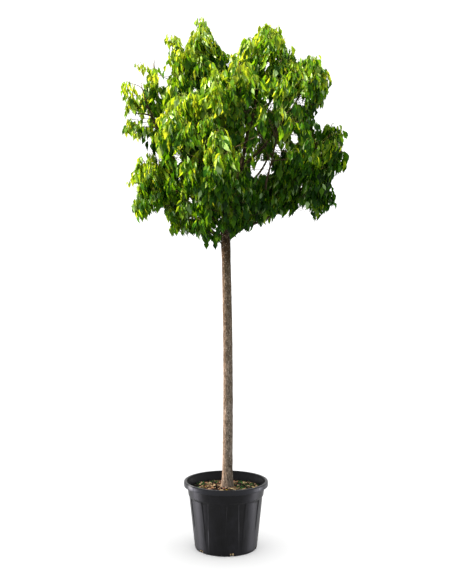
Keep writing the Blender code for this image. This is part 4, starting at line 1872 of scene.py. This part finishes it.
    def side_twig(
        self, space: Space, foot: Vector, radius: float, heading: Vector, turn: float, seed: str
    ) -> None:
        """Grows one side twig from the stem, with its shoots and leaves.

        Args:
            space: The mass's space.
            foot: Where it leaves the stem.
            radius: The stem's radius there.
            heading: The stem's direction there.
            turn: The angle round the stem.
            seed: The twig's seed.
        """
        habit, shoots = self.twig_habit, self.shoot_habit
        draw = Random(seed)
        side = sideways(heading, turn + draw.uniform(*habit.swing))
        lift = UP * draw.uniform(*habit.lift)
        direction = (heading * draw.uniform(*habit.forward) + side + lift).normalized()
        length = self.reach(space, foot, direction, habit.longest) * draw.uniform(*habit.room)
        if length < habit.shortest:
            return
        sag = UP * length * draw.uniform(*habit.sag)
        end = foot + direction * length
        middle = foot.lerp(end, 0.5) - sag
        path = [bezier((foot, middle, end), share) for share in shares(habit.knots)]
        if not self.clear(path[2:], habit.margin):
            return
        thick = min(radius * habit.foot_share, habit.thickest)
        radii = [blend(thick, habit.tip, share) for share in shares(habit.knots)]
        self.twigs.tube(path, radii, habit.sides)
        count = max(int(length / shoots.spacing), 1)
        for index in range(count):
            share = (index + shoots.offset) / count * shoots.last
            point, line = along(path, share)
            around = sideways(line, index * GOLDEN_ANGLE + turn)
            way = (line * draw.uniform(*shoots.forward) + around + UP * shoots.lift).normalized()
            reach = self.reach(space, point, way, draw.uniform(*shoots.length))
            if reach > shoots.shortest:
                thin = blend(thick, habit.tip, share) * shoots.foot_share
                self.shoot(space, point, way, thin, reach, draw)
            elif draw.random() < shoots.stub_chance:
                self.leaf_pair(self.spray(space, point, draw), point, line, turn + index)
        point, line = along(path, 1)
        spray = self.spray(space, point, draw)
        self.leaf_pair(spray, point, line, turn)
        last = spray._replace(scale=habit.end_scale)
        self.leaf(last, point, (line + UP * habit.end_rise).normalized())

    def lone_path(self, mass: str, tip: Vector, draw: Random) -> tuple[list[Vector], float]:
        """Draws a shoot from the nearest place on its mass's stem out to a tip of its own.

        Args:
            mass: The mass's name.
            tip: Where it ends.
            draw: The shoot's draw.

        Returns:
            Its path and the straight distance from its foot to its tip.
        """
        habit = self.lone_habit
        knots = self.stems[mass]
        foot, line = min(
            (along(knots, share) for share in shares(habit.samples)),
            key=lambda place: (place[0] - tip + UP * habit.foot_drop).length,
        )
        span = (tip - foot).length
        bow = Vector(draw.uniform(-habit.bow, habit.bow) * span for _ in range(3))
        leaving = foot + line * span * habit.pull + bow
        controls = (foot, leaving, tip - UP * span * habit.droop + bow, tip)
        return [bezier(controls, share) for share in shares(habit.knots)], span

    def lone_shoot(self, path: list[Vector], thick: float) -> None:
        """Adds a bare shoot along its path, from its foot's radius."""
        radii = [blend(thick, self.lone_habit.tip, share) for share in shares(len(path))]
        self.twigs.tube(path, radii, self.lone_habit.sides)

    def sprig(self, sprig: Sprig, index: int) -> None:
        """Grows a shoot that stands out of its mass, with its leaf pairs and its tuft.

        Args:
            sprig: The shoot.
            index: Its place in SPRIGS, for its seed.
        """
        habit = self.lone_habit
        draw = Random(f"sprig {index}")
        tip = Vector(sprig.tip)
        path, span = self.lone_path(sprig.mass, tip, draw)
        self.lone_shoot(path, habit.sprig_thick)
        for node in range(sprig.pairs):
            point, way = along(path, 1 - (node + 1) * habit.sprig_spacing / span)
            spray = self.spray(None, point, draw, habit.sprig_leaf, True)
            self.leaf_pair(spray, point, way, node * pi / 2)
        spray = self.spray(None, tip, draw, habit.sprig_tuft, True)
        self.tuft(spray, tip, (path[-1] - path[-2]).normalized())

    def rim_tufts(self, name: str) -> None:
        """Grows shoots out to one mass's share of the crown's rim, each ending in a tuft.

        Args:
            name: The mass's name.
        """
        habit = self.rim_habit
        space = self.skeleton.spaces[name]
        fullness = self.skeleton.fullness
        draw = Random(f"{name} tufts")
        for index in range(habit.tufts):
            height = 1 - 2 * (index + 0.5) / habit.tufts
            angle = index * GOLDEN_ANGLE + draw.uniform(*habit.swing)
            flat = sqrt(1 - height * height)
            way = Vector((flat * cos(angle), flat * sin(angle), height))
            edge = support(space.reach, way)
            if fullness(space.middle + way * edge) > habit.inside:
                continue
            far = edge * habit.start
            while fullness(space.middle + way * (far + habit.step)) > habit.fullness:
                far += habit.step
            far += habit.stand * draw.uniform(-1.0, 1.0) - max(-height, 0) * habit.tuck
            tip = space.middle + way * far
            if in_gap(tip, OPEN) or (in_gap(tip, THIN) and tip.y < FRONT):
                continue
            if draw.random() > SPARSE.get(name, 1.0):
                continue
            if min((knot - tip).length for knot in self.stems[name]) > habit.longest:
                continue
            path, span = self.lone_path(name, tip, draw)
            grown = False
            for node in range(int(span / habit.node_room)):
                point, heading = along(path, 1 - (node + 1) * habit.spacing / span)
                spray = self.spray(None, point, draw, habit.leaf_scale)
                grown |= self.leaf_pair(spray, point, heading, node * pi / 2)
            spray = self.spray(None, tip, draw, draw.uniform(*habit.tuft_scale))
            grown |= self.tuft(spray, tip, (path[-1] - path[-2]).normalized())
            if grown:
                self.lone_shoot(path, habit.thick)

    def grow(self, name: str) -> None:
        """Grows one mass from its bough's tip."""
        habit, twigs = self.stem_habit, self.twig_habit
        space = self.skeleton.spaces[name]
        knots = self.stem(name)
        self.stems[name] = knots
        foot = LIMBS[name].tip
        path = rounded(knots, habit.rings)
        tip = habit.tip * habit.tip_share
        self.twigs.tube(path, [blend(foot, tip, share) for share in shares(habit.rings)], habit.sides)
        draw = Random(f"{name} stem")
        turn = draw.uniform(0, pi)
        for node in range(twigs.nodes):
            share = blend(twigs.first, twigs.last, node / (twigs.nodes - 1))
            point, line = along(path, share)
            radius = blend(foot, habit.tip, share)
            for hand in range(2):
                if draw.random() > SPARSE.get(name, 1.0):
                    continue
                around = turn + node * twigs.turn + hand * pi
                self.side_twig(space, point, radius, line, around, f"{name} twig {node} {hand}")
        point, line = along(path, 1)
        for index in range(habit.top_pairs):
            spray = self.spray(space, point, draw, habit.top_scale)
            self.leaf_pair(spray, point, line, turn + index)

    def leaf_mesh(self, name: str, blades: list[Blade]) -> Mesh:
        """Joins the leaflets of one green.

        Args:
            name: The mesh's name.
            blades: The leaflets.

        Returns:
            The mesh.
        """
        pile = Pile()
        for index, form in enumerate(LEAFLETS):
            chosen = [blade for blade in blades if blade.form == index]
            if chosen:
                turns = np.array([np.array(blade.turn) for blade in chosen])
                roots = np.array([np.array(blade.root) for blade in chosen])
                pile.copies(*form.arrays(), turns, roots)
        return pile.mesh(name)

    def build(self) -> list[Object]:
        """Grows every mass and joins each kind apart.

        Returns:
            The pieces: twigs, stalks and one piece of leaves for each tint.
        """
        for name in MASSES:
            self.grow(name)
            self.rim_tufts(name)
        for index, sprig in enumerate(SPRIGS):
            self.sprig(sprig, index)
        for twig in BARE_TWIGS:
            path, _ = self.lone_path(twig.mass, Vector(twig.tip), Random("bare"))
            self.lone_shoot(path, twig.thick)
        made = [
            finished("twigs", self.twigs.mesh("twigs"), TWIG_BARK.build()),
            finished("leaf_stalks", self.stalks.mesh("leaf_stalks"), LEAF_STALK.build()),
        ]
        nodes = [f"foliage_{name}" for name in MASSES]
        for tint, blades in self.blades.items():
            if blades:
                name = tint.value.name.replace("leaf", "leaves")
                mesh = self.leaf_mesh(name, blades)
                made.append(finished(name, mesh, tint.value.build(), nodes))
        log.info("%d compound leaves, %d leaflets", self.leaves, sum(map(len, self.blades.values())))
        return made


@dataclass
class Pot:
    """A moulded nursery container: turned-down lip, upper band, channelled body, drain notches."""

    height: float = 0.358
    lip_radius: float = 0.225
    lip_height: float = 0.026
    lip_wall: float = 0.0045
    lip_round: float = 0.0055
    opening_radius: float = 0.209
    band_foot: float = 0.285
    band_foot_radius: float = 0.201
    band_top_radius: float = 0.207
    body_top_radius: float = 0.197
    body_foot_radius: float = 0.1675
    body_foot: float = 0.014
    underside_radius: float = 0.158
    foot_step: float = 0.002
    foot_round: float = 0.0055
    dish_edge: float = 0.126
    dish_radius: float = 0.12
    dish_depth: float = 0.004
    band_gap: float = 0.006
    band_round: float = 0.003
    lip_edge_round: float = 0.0022
    rim_round: float = 0.004
    corner_points: int = 6
    body_points: int = 40
    wall: float = 0.007
    floor: float = 0.007
    channels: int = 12
    channel_first: float = radians(-4.5)
    channel_half: float = radians(6.5)
    channel_half_foot: float = radians(2.4)
    channel_edge: float = radians(1.1)
    channel_depth: float = 0.004
    channel_fade: float = 0.7
    channel_end: float = 0.006
    floor_columns: int = 4
    notches: int = 6
    notch_first: float = radians(10.5)
    notch_width: float = 0.022
    notch_height: float = 0.018
    notch_depth: float = 0.03
    notch_round: float = 0.005
    steps: int = 288
    weld: float = 1e-5
    slack: float = 0.001
    sharp: float = radians(32)

    def wall_radius(self, height: float) -> float:
        """Returns the inner radius at a height inside the body or the band."""
        share = (height - self.body_foot) / (self.band_foot - self.body_foot)
        return blend(self.body_foot_radius, self.body_top_radius, share) - self.wall

    def corner(
        self, x: float, z: float, radius: float, start: float, end: float
    ) -> list[tuple[float, float]]:
        """Returns a round stretch about (x, z), from angle to angle in degrees from straight out."""
        angles = (radians(blend(start, end, share)) for share in shares(self.corner_points))
        return [(x + radius * cos(angle), z + radius * sin(angle)) for angle in angles]

    def profile(self) -> list[tuple[float, float]]:
        """Returns the pot's section, up its outside, over the lip and down its inside."""
        lip_foot = self.height - self.lip_height
        inner = self.lip_radius - self.lip_wall
        curl, edge, rim = self.lip_round, self.lip_edge_round, self.rim_round
        foot, band = self.foot_round, self.band_round
        body_top = self.band_foot - self.band_gap
        body = [
            (
                blend(self.body_foot_radius, self.body_top_radius, share),
                blend(self.body_foot, body_top, share),
            )
            for share in shares(self.body_points)
        ]
        return [
            (0.0, self.dish_depth),
            (self.dish_radius, self.dish_depth),
            (self.dish_edge, 0.0),
            (self.underside_radius, 0.0),
            *self.corner(self.underside_radius + self.foot_step, foot, foot, -80, -20),
            *body,
            *self.corner(self.band_foot_radius - band, self.band_foot + 0.001, band, -60, 0),
            (self.band_top_radius, lip_foot - 0.004),
            (self.opening_radius - 0.001, lip_foot + 0.008),
            (self.opening_radius + 0.001, self.height - 2.2 * curl),
            (inner - 0.002, self.height - 2.0 * curl),
            (inner, self.height - 2.6 * curl),
            (inner, lip_foot + 0.001),
            *self.corner(self.lip_radius - edge, lip_foot + edge, edge, -130, 0),
            (self.lip_radius + 0.0004, self.height - self.lip_height * 0.55),
            *self.corner(self.lip_radius - curl, self.height - curl, curl, 0, 85),
            *self.corner(self.opening_radius + rim, self.height - rim, rim, 90, 180),
            (self.opening_radius - 0.0025, self.height - 0.014),
            (self.wall_radius(0.318) + 0.004, 0.33),
            (self.wall_radius(0.3), 0.3),
            (self.wall_radius(self.floor) + 0.001, self.floor + 0.003),
            (self.wall_radius(self.floor) - 0.004, self.floor),
            (0.0, self.floor),
        ]

    def pressed(self, point: Vector) -> Vector:
        """Moves a point of the body's outside to where the channels put it.

        A period has a fixed number of columns. The inner ones span the channel's floor, the next
        on each side stands at its rim, and the rest spread over the plain wall.

        Args:
            point: The point, in a column of the plain wall.

        Returns:
            The point in its place.
        """
        period = tau / self.channels
        columns = self.steps // self.channels // 2
        angle = atan2(point.x, -point.y)
        turn = remainder(angle - self.channel_first, period)
        column = abs(round(turn / period * 2 * columns))
        top = self.band_foot - self.band_gap
        climb = min(max((point.z - self.body_foot) / (top - self.body_foot), 0), 1)
        half = blend(self.channel_half_foot, self.channel_half, climb)
        if column <= self.floor_columns:
            away = (half - self.channel_edge) * column / self.floor_columns
        else:
            rest = (column - self.floor_columns - 1) / (columns - self.floor_columns - 1)
            away = half + (period / 2 - half) * rest
        moved = angle - turn + copysign(away, turn)
        inside = column <= self.floor_columns and point.z < top
        depth = self.channel_depth * climb**self.channel_fade if inside else 0.0
        ending = ease((point.z - top + self.channel_end) / self.channel_end)
        reach = hypot(point.x, point.y) - depth * (1 - ending)
        return Vector((reach * sin(moved), -reach * cos(moved), point.z))

    def build_shell(self) -> BMesh:
        """Spins the section and presses the channels in."""
        bm = bmesh.new()
        verts = [bm.verts.new((x, 0, z)) for x, z in self.profile()]
        edges = [bm.edges.new(pair) for pair in pairwise(verts)]
        bmesh.ops.spin(
            bm,
            geom=verts + edges,
            cent=(0, 0, 0),
            axis=(0, 0, 1),
            angle=tau,
            steps=self.steps,
            use_merge=True,
        )
        bmesh.ops.rotate(bm, matrix=Matrix.Rotation(self.channel_first, 3, "Z"), verts=bm.verts)
        bmesh.ops.remove_doubles(bm, verts=bm.verts, dist=self.weld)
        bmesh.ops.recalc_face_normals(bm, faces=bm.faces)
        low = self.body_foot - self.slack
        top = self.band_foot - self.band_gap + self.slack
        for vert in bm.verts:
            reach = hypot(vert.co.x, vert.co.y)
            if low < vert.co.z < top and reach > self.wall_radius(vert.co.z) + self.wall / 2:
                vert.co = self.pressed(vert.co)
        return bm

    def build_notch(self, angle: float) -> BMesh:
        """Builds the cutter of one drain notch: a block whose upper corners are rounded.

        Args:
            angle: The angle from the front.

        Returns:
            The cutter.
        """
        bm = bmesh.new()
        bmesh.ops.create_cube(bm, size=1)
        outward = Vector((sin(angle), -cos(angle), 0))
        size = Matrix.Diagonal((self.notch_width, self.notch_depth, 2 * self.notch_height, 1))
        spot = Matrix.Translation(outward * self.body_foot_radius) @ Matrix.Rotation(angle, 4, "Z")
        bmesh.ops.transform(bm, matrix=spot @ size, verts=bm.verts)
        corners = []
        for edge in bm.edges:
            run = (edge.verts[1].co - edge.verts[0].co).normalized()
            if min(vert.co.z for vert in edge.verts) > 0 and abs(run.dot(outward)) > 0.9:
                corners.append(edge)
        bmesh.ops.bevel(
            bm,
            geom=corners,
            offset=self.notch_round,
            segments=4,
            profile=0.5,
            affect="EDGES",
            material=-1,
        )
        return bm

    def build(self) -> Object:
        """Returns the pot's piece, with the notches cut through its foot."""
        body = bpy.data.objects.new("pot_body", mesh_of(self.build_shell(), "pot_body"))
        cutters = bpy.data.collections.new("notches")
        bpy.context.scene.collection.objects.link(body)
        bpy.context.scene.collection.children.link(cutters)
        for notch in range(self.notches):
            angle = self.notch_first + tau * notch / self.notches
            cutter = bpy.data.objects.new("notch", mesh_of(self.build_notch(angle), "notch"))
            cutters.objects.link(cutter)
        cut = body.modifiers.new("notches", "BOOLEAN")
        cut.operation = "DIFFERENCE"
        cut.operand_type = "COLLECTION"
        cut.collection = cutters
        cut.solver = "EXACT"
        graph = bpy.context.evaluated_depsgraph_get()
        mesh = bpy.data.meshes.new_from_object(body.evaluated_get(graph))
        for helper in [*cutters.objects, body]:
            bpy.data.objects.remove(helper)
        bpy.data.collections.remove(cutters)
        mesh.name = "nursery_pot"
        mesh.shade_smooth()
        mesh.set_sharp_from_angle(angle=self.sharp)
        return finished("nursery_pot", mesh, Plastic().build(), ["pot"])


@dataclass
class Compost:
    """The filling: an uneven surface that rises to the trunk, under bark chips, moss and bits."""

    pot: Pot
    trunk: Trunk
    top: float = 0.311
    gap: float = 0.0005
    floor_gap: float = 0.0003
    sides: int = 160
    rings: int = 26
    ring_width: float = 0.007
    mound: float = 0.014
    mound_reach: float = 0.08
    lumps: float = 0.003
    lumps_per_metre: float = 45
    crumbs_per_metre: float = 110
    calm_edge: float = 0.03
    chips: int = 1150
    chip_length: Span = (0.009, 0.03)
    bit_length: Span = (0.008, 0.013)
    chip_width: Span = (0.25, 0.6)
    chip_thickness: Span = (0.001, 0.0028)
    chip_bend: Span = (0.0, 0.12)
    chip_ragged: Span = (0.45, 1.0)
    chip_skew: Span = (-0.08, 0.08)
    chip_tilt: float = 0.25
    chip_roll: float = 0.4
    chip_lift: Span = (0.0, 0.004)
    wall_room: float = 0.006
    overhang: float = 0.004
    trunk_room: float = 0.036
    weights: tuple[float, ...] = (0.48, 0.22, 0.15, 0.11, 0.04)
    notch_chips: int = 12
    # The dark chips paint the shade inside the notches.
    notch_kinds: tuple[str, ...] = ("dark", "tan", "tan")
    notch_aside: Span = (0.026, 0.056)
    notch_reach: Span = (0.001, 0.006)
    notch_level: Span = (0.007, 0.016)
    notch_length: Span = (0.005, 0.01)
    notch_turn: float = 0.5
    moss_blades: int = 110
    moss_room: float = 0.034
    moss_lift: float = 0.002
    moss_lean: Span = (-0.9, 0.2)
    moss_size: Span = (0.6, 1.5)
    moss_spots: tuple[Triple, ...] = (
        (-0.12, 0.08, 0.045), (-0.06, 0.115, 0.04), (0.085, -0.02, 0.05), (0.14, 0.05, 0.04),
        (0.09, 0.1, 0.05), (-0.15, -0.02, 0.03),
    )
    moss_blade: tuple[Triple, ...] = (
        (0, -0.0006, 0), (0, 0.0006, 0), (0.004, 0.0011, 0.0035), (0.004, -0.0011, 0.0035),
        (0.0075, 0, 0.004),
    )

    def __post_init__(self) -> None:
        """Opens a pile for each kind of litter, and starts its draw."""
        self.draw = Random("litter")
        self.piles = {kind: Pile() for kind in LITTER}

    def level(self, x: float, y: float) -> float:
        """Returns the surface's height at a place."""
        foot = self.trunk.skeleton.trunk_foot
        away = hypot(x - foot[0], y - foot[1])
        edge = ease((self.pot.wall_radius(self.top) - hypot(x, y)) / self.calm_edge)
        coarse, fine = self.lumps_per_metre, self.crumbs_per_metre
        lump = noise.noise(Vector((x * coarse, y * coarse, 0)))
        lump = lump + 0.5 * noise.noise(Vector((x * fine, y * fine, 5)))
        mound = self.mound * exp(-((away / self.mound_reach) ** 2))
        return self.top + mound + self.lumps * lump * edge

    def build_fill(self) -> Object:
        """Returns the filling: a cone cut to the pot's inside, its top worked into lumps."""
        bm = bmesh.new()
        low, high = self.pot.floor + self.floor_gap, self.top
        bmesh.ops.create_cone(
            bm,
            cap_ends=True,
            cap_tris=False,
            segments=self.sides,
            radius1=self.pot.wall_radius(low) - self.gap,
            radius2=self.pot.wall_radius(high) - self.gap,
            depth=high - low,
            matrix=Matrix.Translation((0, 0, (high + low) / 2)),
        )
        top = max(bm.faces, key=lambda face: face.calc_center_median().z)
        for _ in range(self.rings):
            bmesh.ops.inset_region(bm, faces=[top], thickness=self.ring_width, use_even_offset=False)
        for vert in bm.verts:
            if vert.co.z > (low + high) / 2:
                vert.co.z = self.level(vert.co.x, vert.co.y)
        mesh = mesh_of(bm, "compost_fill", 80)
        return finished("compost_fill", mesh, COMPOST.build(), ["compost"])

    def chip(self, length: float) -> tuple[np.ndarray, np.ndarray]:
        """Shapes one splinter of bark: a bent board with ragged ends.

        Args:
            length: The splinter's length.

        Returns:
            Its points and triangles.
        """
        draw = self.draw
        width = length * draw.uniform(*self.chip_width)
        thick = draw.uniform(*self.chip_thickness)
        bend = length * draw.uniform(*self.chip_bend)
        points = []
        for share in (-0.5, 0.0, 0.5):
            wide = width * draw.uniform(*self.chip_ragged) / 2
            skew = length * draw.uniform(*self.chip_skew)
            rise = bend * (0.25 - share * share) * 4
            for side, level in ((-1, 0), (1, 0), (1, 1), (-1, 1)):
                points.append((share * length + skew * side, side * wide, rise + level * thick))
        faces = walls(3, 4)
        faces += [(0, 2, 1), (0, 3, 2), (8, 9, 10), (8, 10, 11)]
        return np.array(points), np.array(faces)

    def scatter_chips(self) -> None:
        """Strews the chips and bits over the surface."""
        draw = self.draw
        kinds = [kind for kind in LITTER if kind != "moss"]
        edge = self.pot.wall_radius(self.top) - self.wall_room
        foot = self.trunk.skeleton.trunk_foot
        for _ in range(self.chips):
            reach = edge * sqrt(draw.random())
            angle = draw.uniform(0, tau)
            x, y = reach * cos(angle), reach * sin(angle)
            if hypot(x - foot[0], y - foot[1]) < self.trunk_room:
                continue
            kind = draw.choices(kinds, self.weights)[0]
            length = draw.uniform(*(self.bit_length if kind == "yellow" else self.chip_length))
            if reach + length / 2 > edge + self.overhang:
                continue
            points, faces = self.chip(length)
            turn = Matrix.Rotation(draw.uniform(0, tau), 3, "Z")
            turn = turn @ Matrix.Rotation(draw.gauss(0, self.chip_tilt), 3, "Y")
            turn = turn @ Matrix.Rotation(draw.gauss(0, self.chip_roll), 3, "X")
            base = Vector((x, y, self.level(x, y) + draw.uniform(*self.chip_lift)))
            self.piles[kind].add(points @ np.array(turn).T + np.array(base), faces)

    def fill_notches(self) -> None:
        """Lays the chips that show in the drain notches."""
        draw = self.draw
        for notch in range(self.pot.notches):
            angle = self.pot.notch_first + tau * notch / self.pot.notches
            for _ in range(self.notch_chips):
                turned = angle + draw.choice((-1, 1)) * draw.uniform(*self.notch_aside)
                reach = self.pot.wall_radius(0.01) + draw.uniform(*self.notch_reach)
                level = draw.uniform(*self.notch_level)
                base = (reach * sin(turned), -reach * cos(turned), level)
                points, faces = self.chip(draw.uniform(*self.notch_length))
                turn = Matrix.Rotation(turned + draw.gauss(0, self.notch_turn), 3, "Z")
                turn = turn @ Matrix.Rotation(draw.uniform(0, pi), 3, "X")
                kind = draw.choice(self.notch_kinds)
                self.piles[kind].add(points @ np.array(turn).T + np.array(base), faces)

    def grow_moss(self) -> None:
        """Grows moss and seedlings in patches, as small bent blades."""
        draw = self.draw
        edge = self.pot.wall_radius(self.top) - self.wall_room
        foot = self.trunk.skeleton.trunk_foot
        turns, roots = [], []
        for x, y, spread in self.moss_spots:
            for _ in range(self.moss_blades):
                px, py = x + draw.gauss(0, spread * 0.5), y + draw.gauss(0, spread * 0.5)
                if hypot(px, py) > edge or hypot(px - foot[0], py - foot[1]) < self.moss_room:
                    continue
                turn = Matrix.Rotation(draw.uniform(0, tau), 3, "Z")
                turn = turn @ Matrix.Rotation(draw.uniform(*self.moss_lean), 3, "Y")
                turns.append(np.array(turn) * draw.uniform(*self.moss_size))
                roots.append((px, py, self.level(px, py) + self.moss_lift))
        faces = np.array([(0, 1, 2), (0, 2, 3), (3, 2, 4)])
        blade = np.array(self.moss_blade)
        self.piles["moss"].copies(blade, faces, np.array(turns), np.array(roots))

    def build(self) -> list[Object]:
        """Returns the filling and each kind of litter on it."""
        self.scatter_chips()
        self.fill_notches()
        self.grow_moss()
        made = [self.build_fill()]
        for kind, look in LITTER.items():
            mesh = self.piles[kind].mesh(look.name)
            made.append(finished(look.name, mesh, look.build()))
        return made


class Sun(NamedTuple):
    """A soft distant light: what it shines on, the way to it, its strength, width and colour.

    Only the parts named in shaders, or else the lit ones, cast its shadows.
    """

    name: str
    lit: tuple[str, ...]
    towards: Triple
    strength: float
    width: float
    colour: str
    shaders: tuple[str, ...] = ()


@dataclass
class Studio:
    """A white floor in even white light, and soft lights from the sides that spare the floor."""

    tilt_down: float = radians(0.93)
    lens: float = 50
    floor_size: float = 120
    floor_colour: str = "f9f9f9"
    daylight: float = 1.35
    sun_distance: float = 4
    suns: tuple[Sun, ...] = (
        Sun("crown_key", ("crown",), (-0.62, -0.1, 0.75), 35.0, 3, "fff0c8"),
        Sun("crown_top", ("crown",), (0.26, 0.1, 0.94), 15.2, 8, "fff4d4"),
        Sun("stem_key", ("stem", "filling"), (-0.62, -0.2, 0.75), 3.0, 20, "fff4ea", ("stem", "pot")),
        Sun("stem_edge", ("stem",), (-0.9, 0.24, 0.34), 15.0, 5, "ffe0cc", ("stem", "crown")),
        Sun("pot_left", ("pot",), (-0.96, 0.2, -0.2), 3.2, 20, "f6f2ff"),
        Sun("pot_right", ("pot",), (0.97, 0.14, -0.2), 2.3, 20, "f4f2ff"),
    )

    def build_floor(self) -> None:
        """Lays the floor."""
        bm = bmesh.new()
        bmesh.ops.create_grid(bm, x_segments=1, y_segments=1, size=self.floor_size / 2)
        floor = bpy.data.objects.new("floor", mesh_of(bm, "floor"))
        bpy.context.scene.collection.objects.link(floor)
        made, shader, _ = new_material("matt_white_floor")
        colour = linear(self.floor_colour)
        set_node(shader, {"Base Color": colour, "Roughness": 1.0, "Specular IOR Level": 0.0}, {})
        floor.data.materials.append(made)

    def build_sun(self, sun: Sun, parts: dict[str, list[Object]]) -> None:
        """Hangs a soft distant light.

        Args:
            sun: What it is.
            parts: The pieces by part of the tree.
        """
        data = bpy.data.lights.new(sun.name, "SUN")
        data.energy = sun.strength
        data.angle = radians(sun.width)
        data.color = linear(sun.colour)[:3]
        light = bpy.data.objects.new(sun.name, data)
        bpy.context.scene.collection.objects.link(light)
        light.location = Vector(sun.towards) * self.sun_distance
        light.rotation_euler = Vector(sun.towards).to_track_quat("Z", "Y").to_euler()
        links = {"receiver": sun.lit, "blocker": sun.shaders or sun.lit}
        for role, names in links.items():
            group = bpy.data.collections.new(f"{sun.name}_{role}s")
            for piece in [piece for name in names for piece in parts[name]]:
                group.objects.link(piece)
            setattr(light.light_linking, f"{role}_collection", group)

    def build_world(self) -> None:
        """Makes the surroundings an even white."""
        world = bpy.data.worlds.new("white_studio")
        world.use_nodes = True
        shade = world.node_tree.nodes["Background"]
        set_node(shade, {"Color": (1, 1, 1, 1), "Strength": self.daylight}, {})
        bpy.context.scene.world = world

    def build_camera(self) -> None:
        """Sets the camera at the front."""
        camera = bpy.data.objects.new("camera", bpy.data.cameras.new("camera"))
        camera.data.lens = self.lens
        camera.location = EYE
        camera.rotation_euler = (pi / 2 - self.tilt_down, 0, 0)
        bpy.context.scene.collection.objects.link(camera)
        bpy.context.scene.camera = camera

    def build(self, parts: dict[str, list[Object]]) -> None:
        """Sets the studio up.

        Args:
            parts: The pieces of the pot, of its filling, of the stem and of the crown.
        """
        self.build_floor()
        for sun in self.suns:
            self.build_sun(sun, parts)
        self.build_world()
        self.build_camera()
        bpy.context.scene.view_settings.view_transform = "Standard"


def main() -> None:
    """Clears the scene, loads the frame and builds the tree from the ground up."""
    logging.basicConfig(level=logging.INFO, format="%(name)s: %(message)s")
    for obj in list(bpy.data.objects):
        bpy.data.objects.remove(obj)
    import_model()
    skeleton = Skeleton()
    pot = Pot()
    trunk = Trunk(skeleton)
    parts = {
        "pot": [pot.build()],
        "filling": Compost(pot, trunk).build(),
        "stem": [trunk.build()],
        "crown": [*Boughs(skeleton).build(), *Foliage(skeleton).build()],
    }
    Studio().build(parts)


if __name__ == "__main__":
    main()
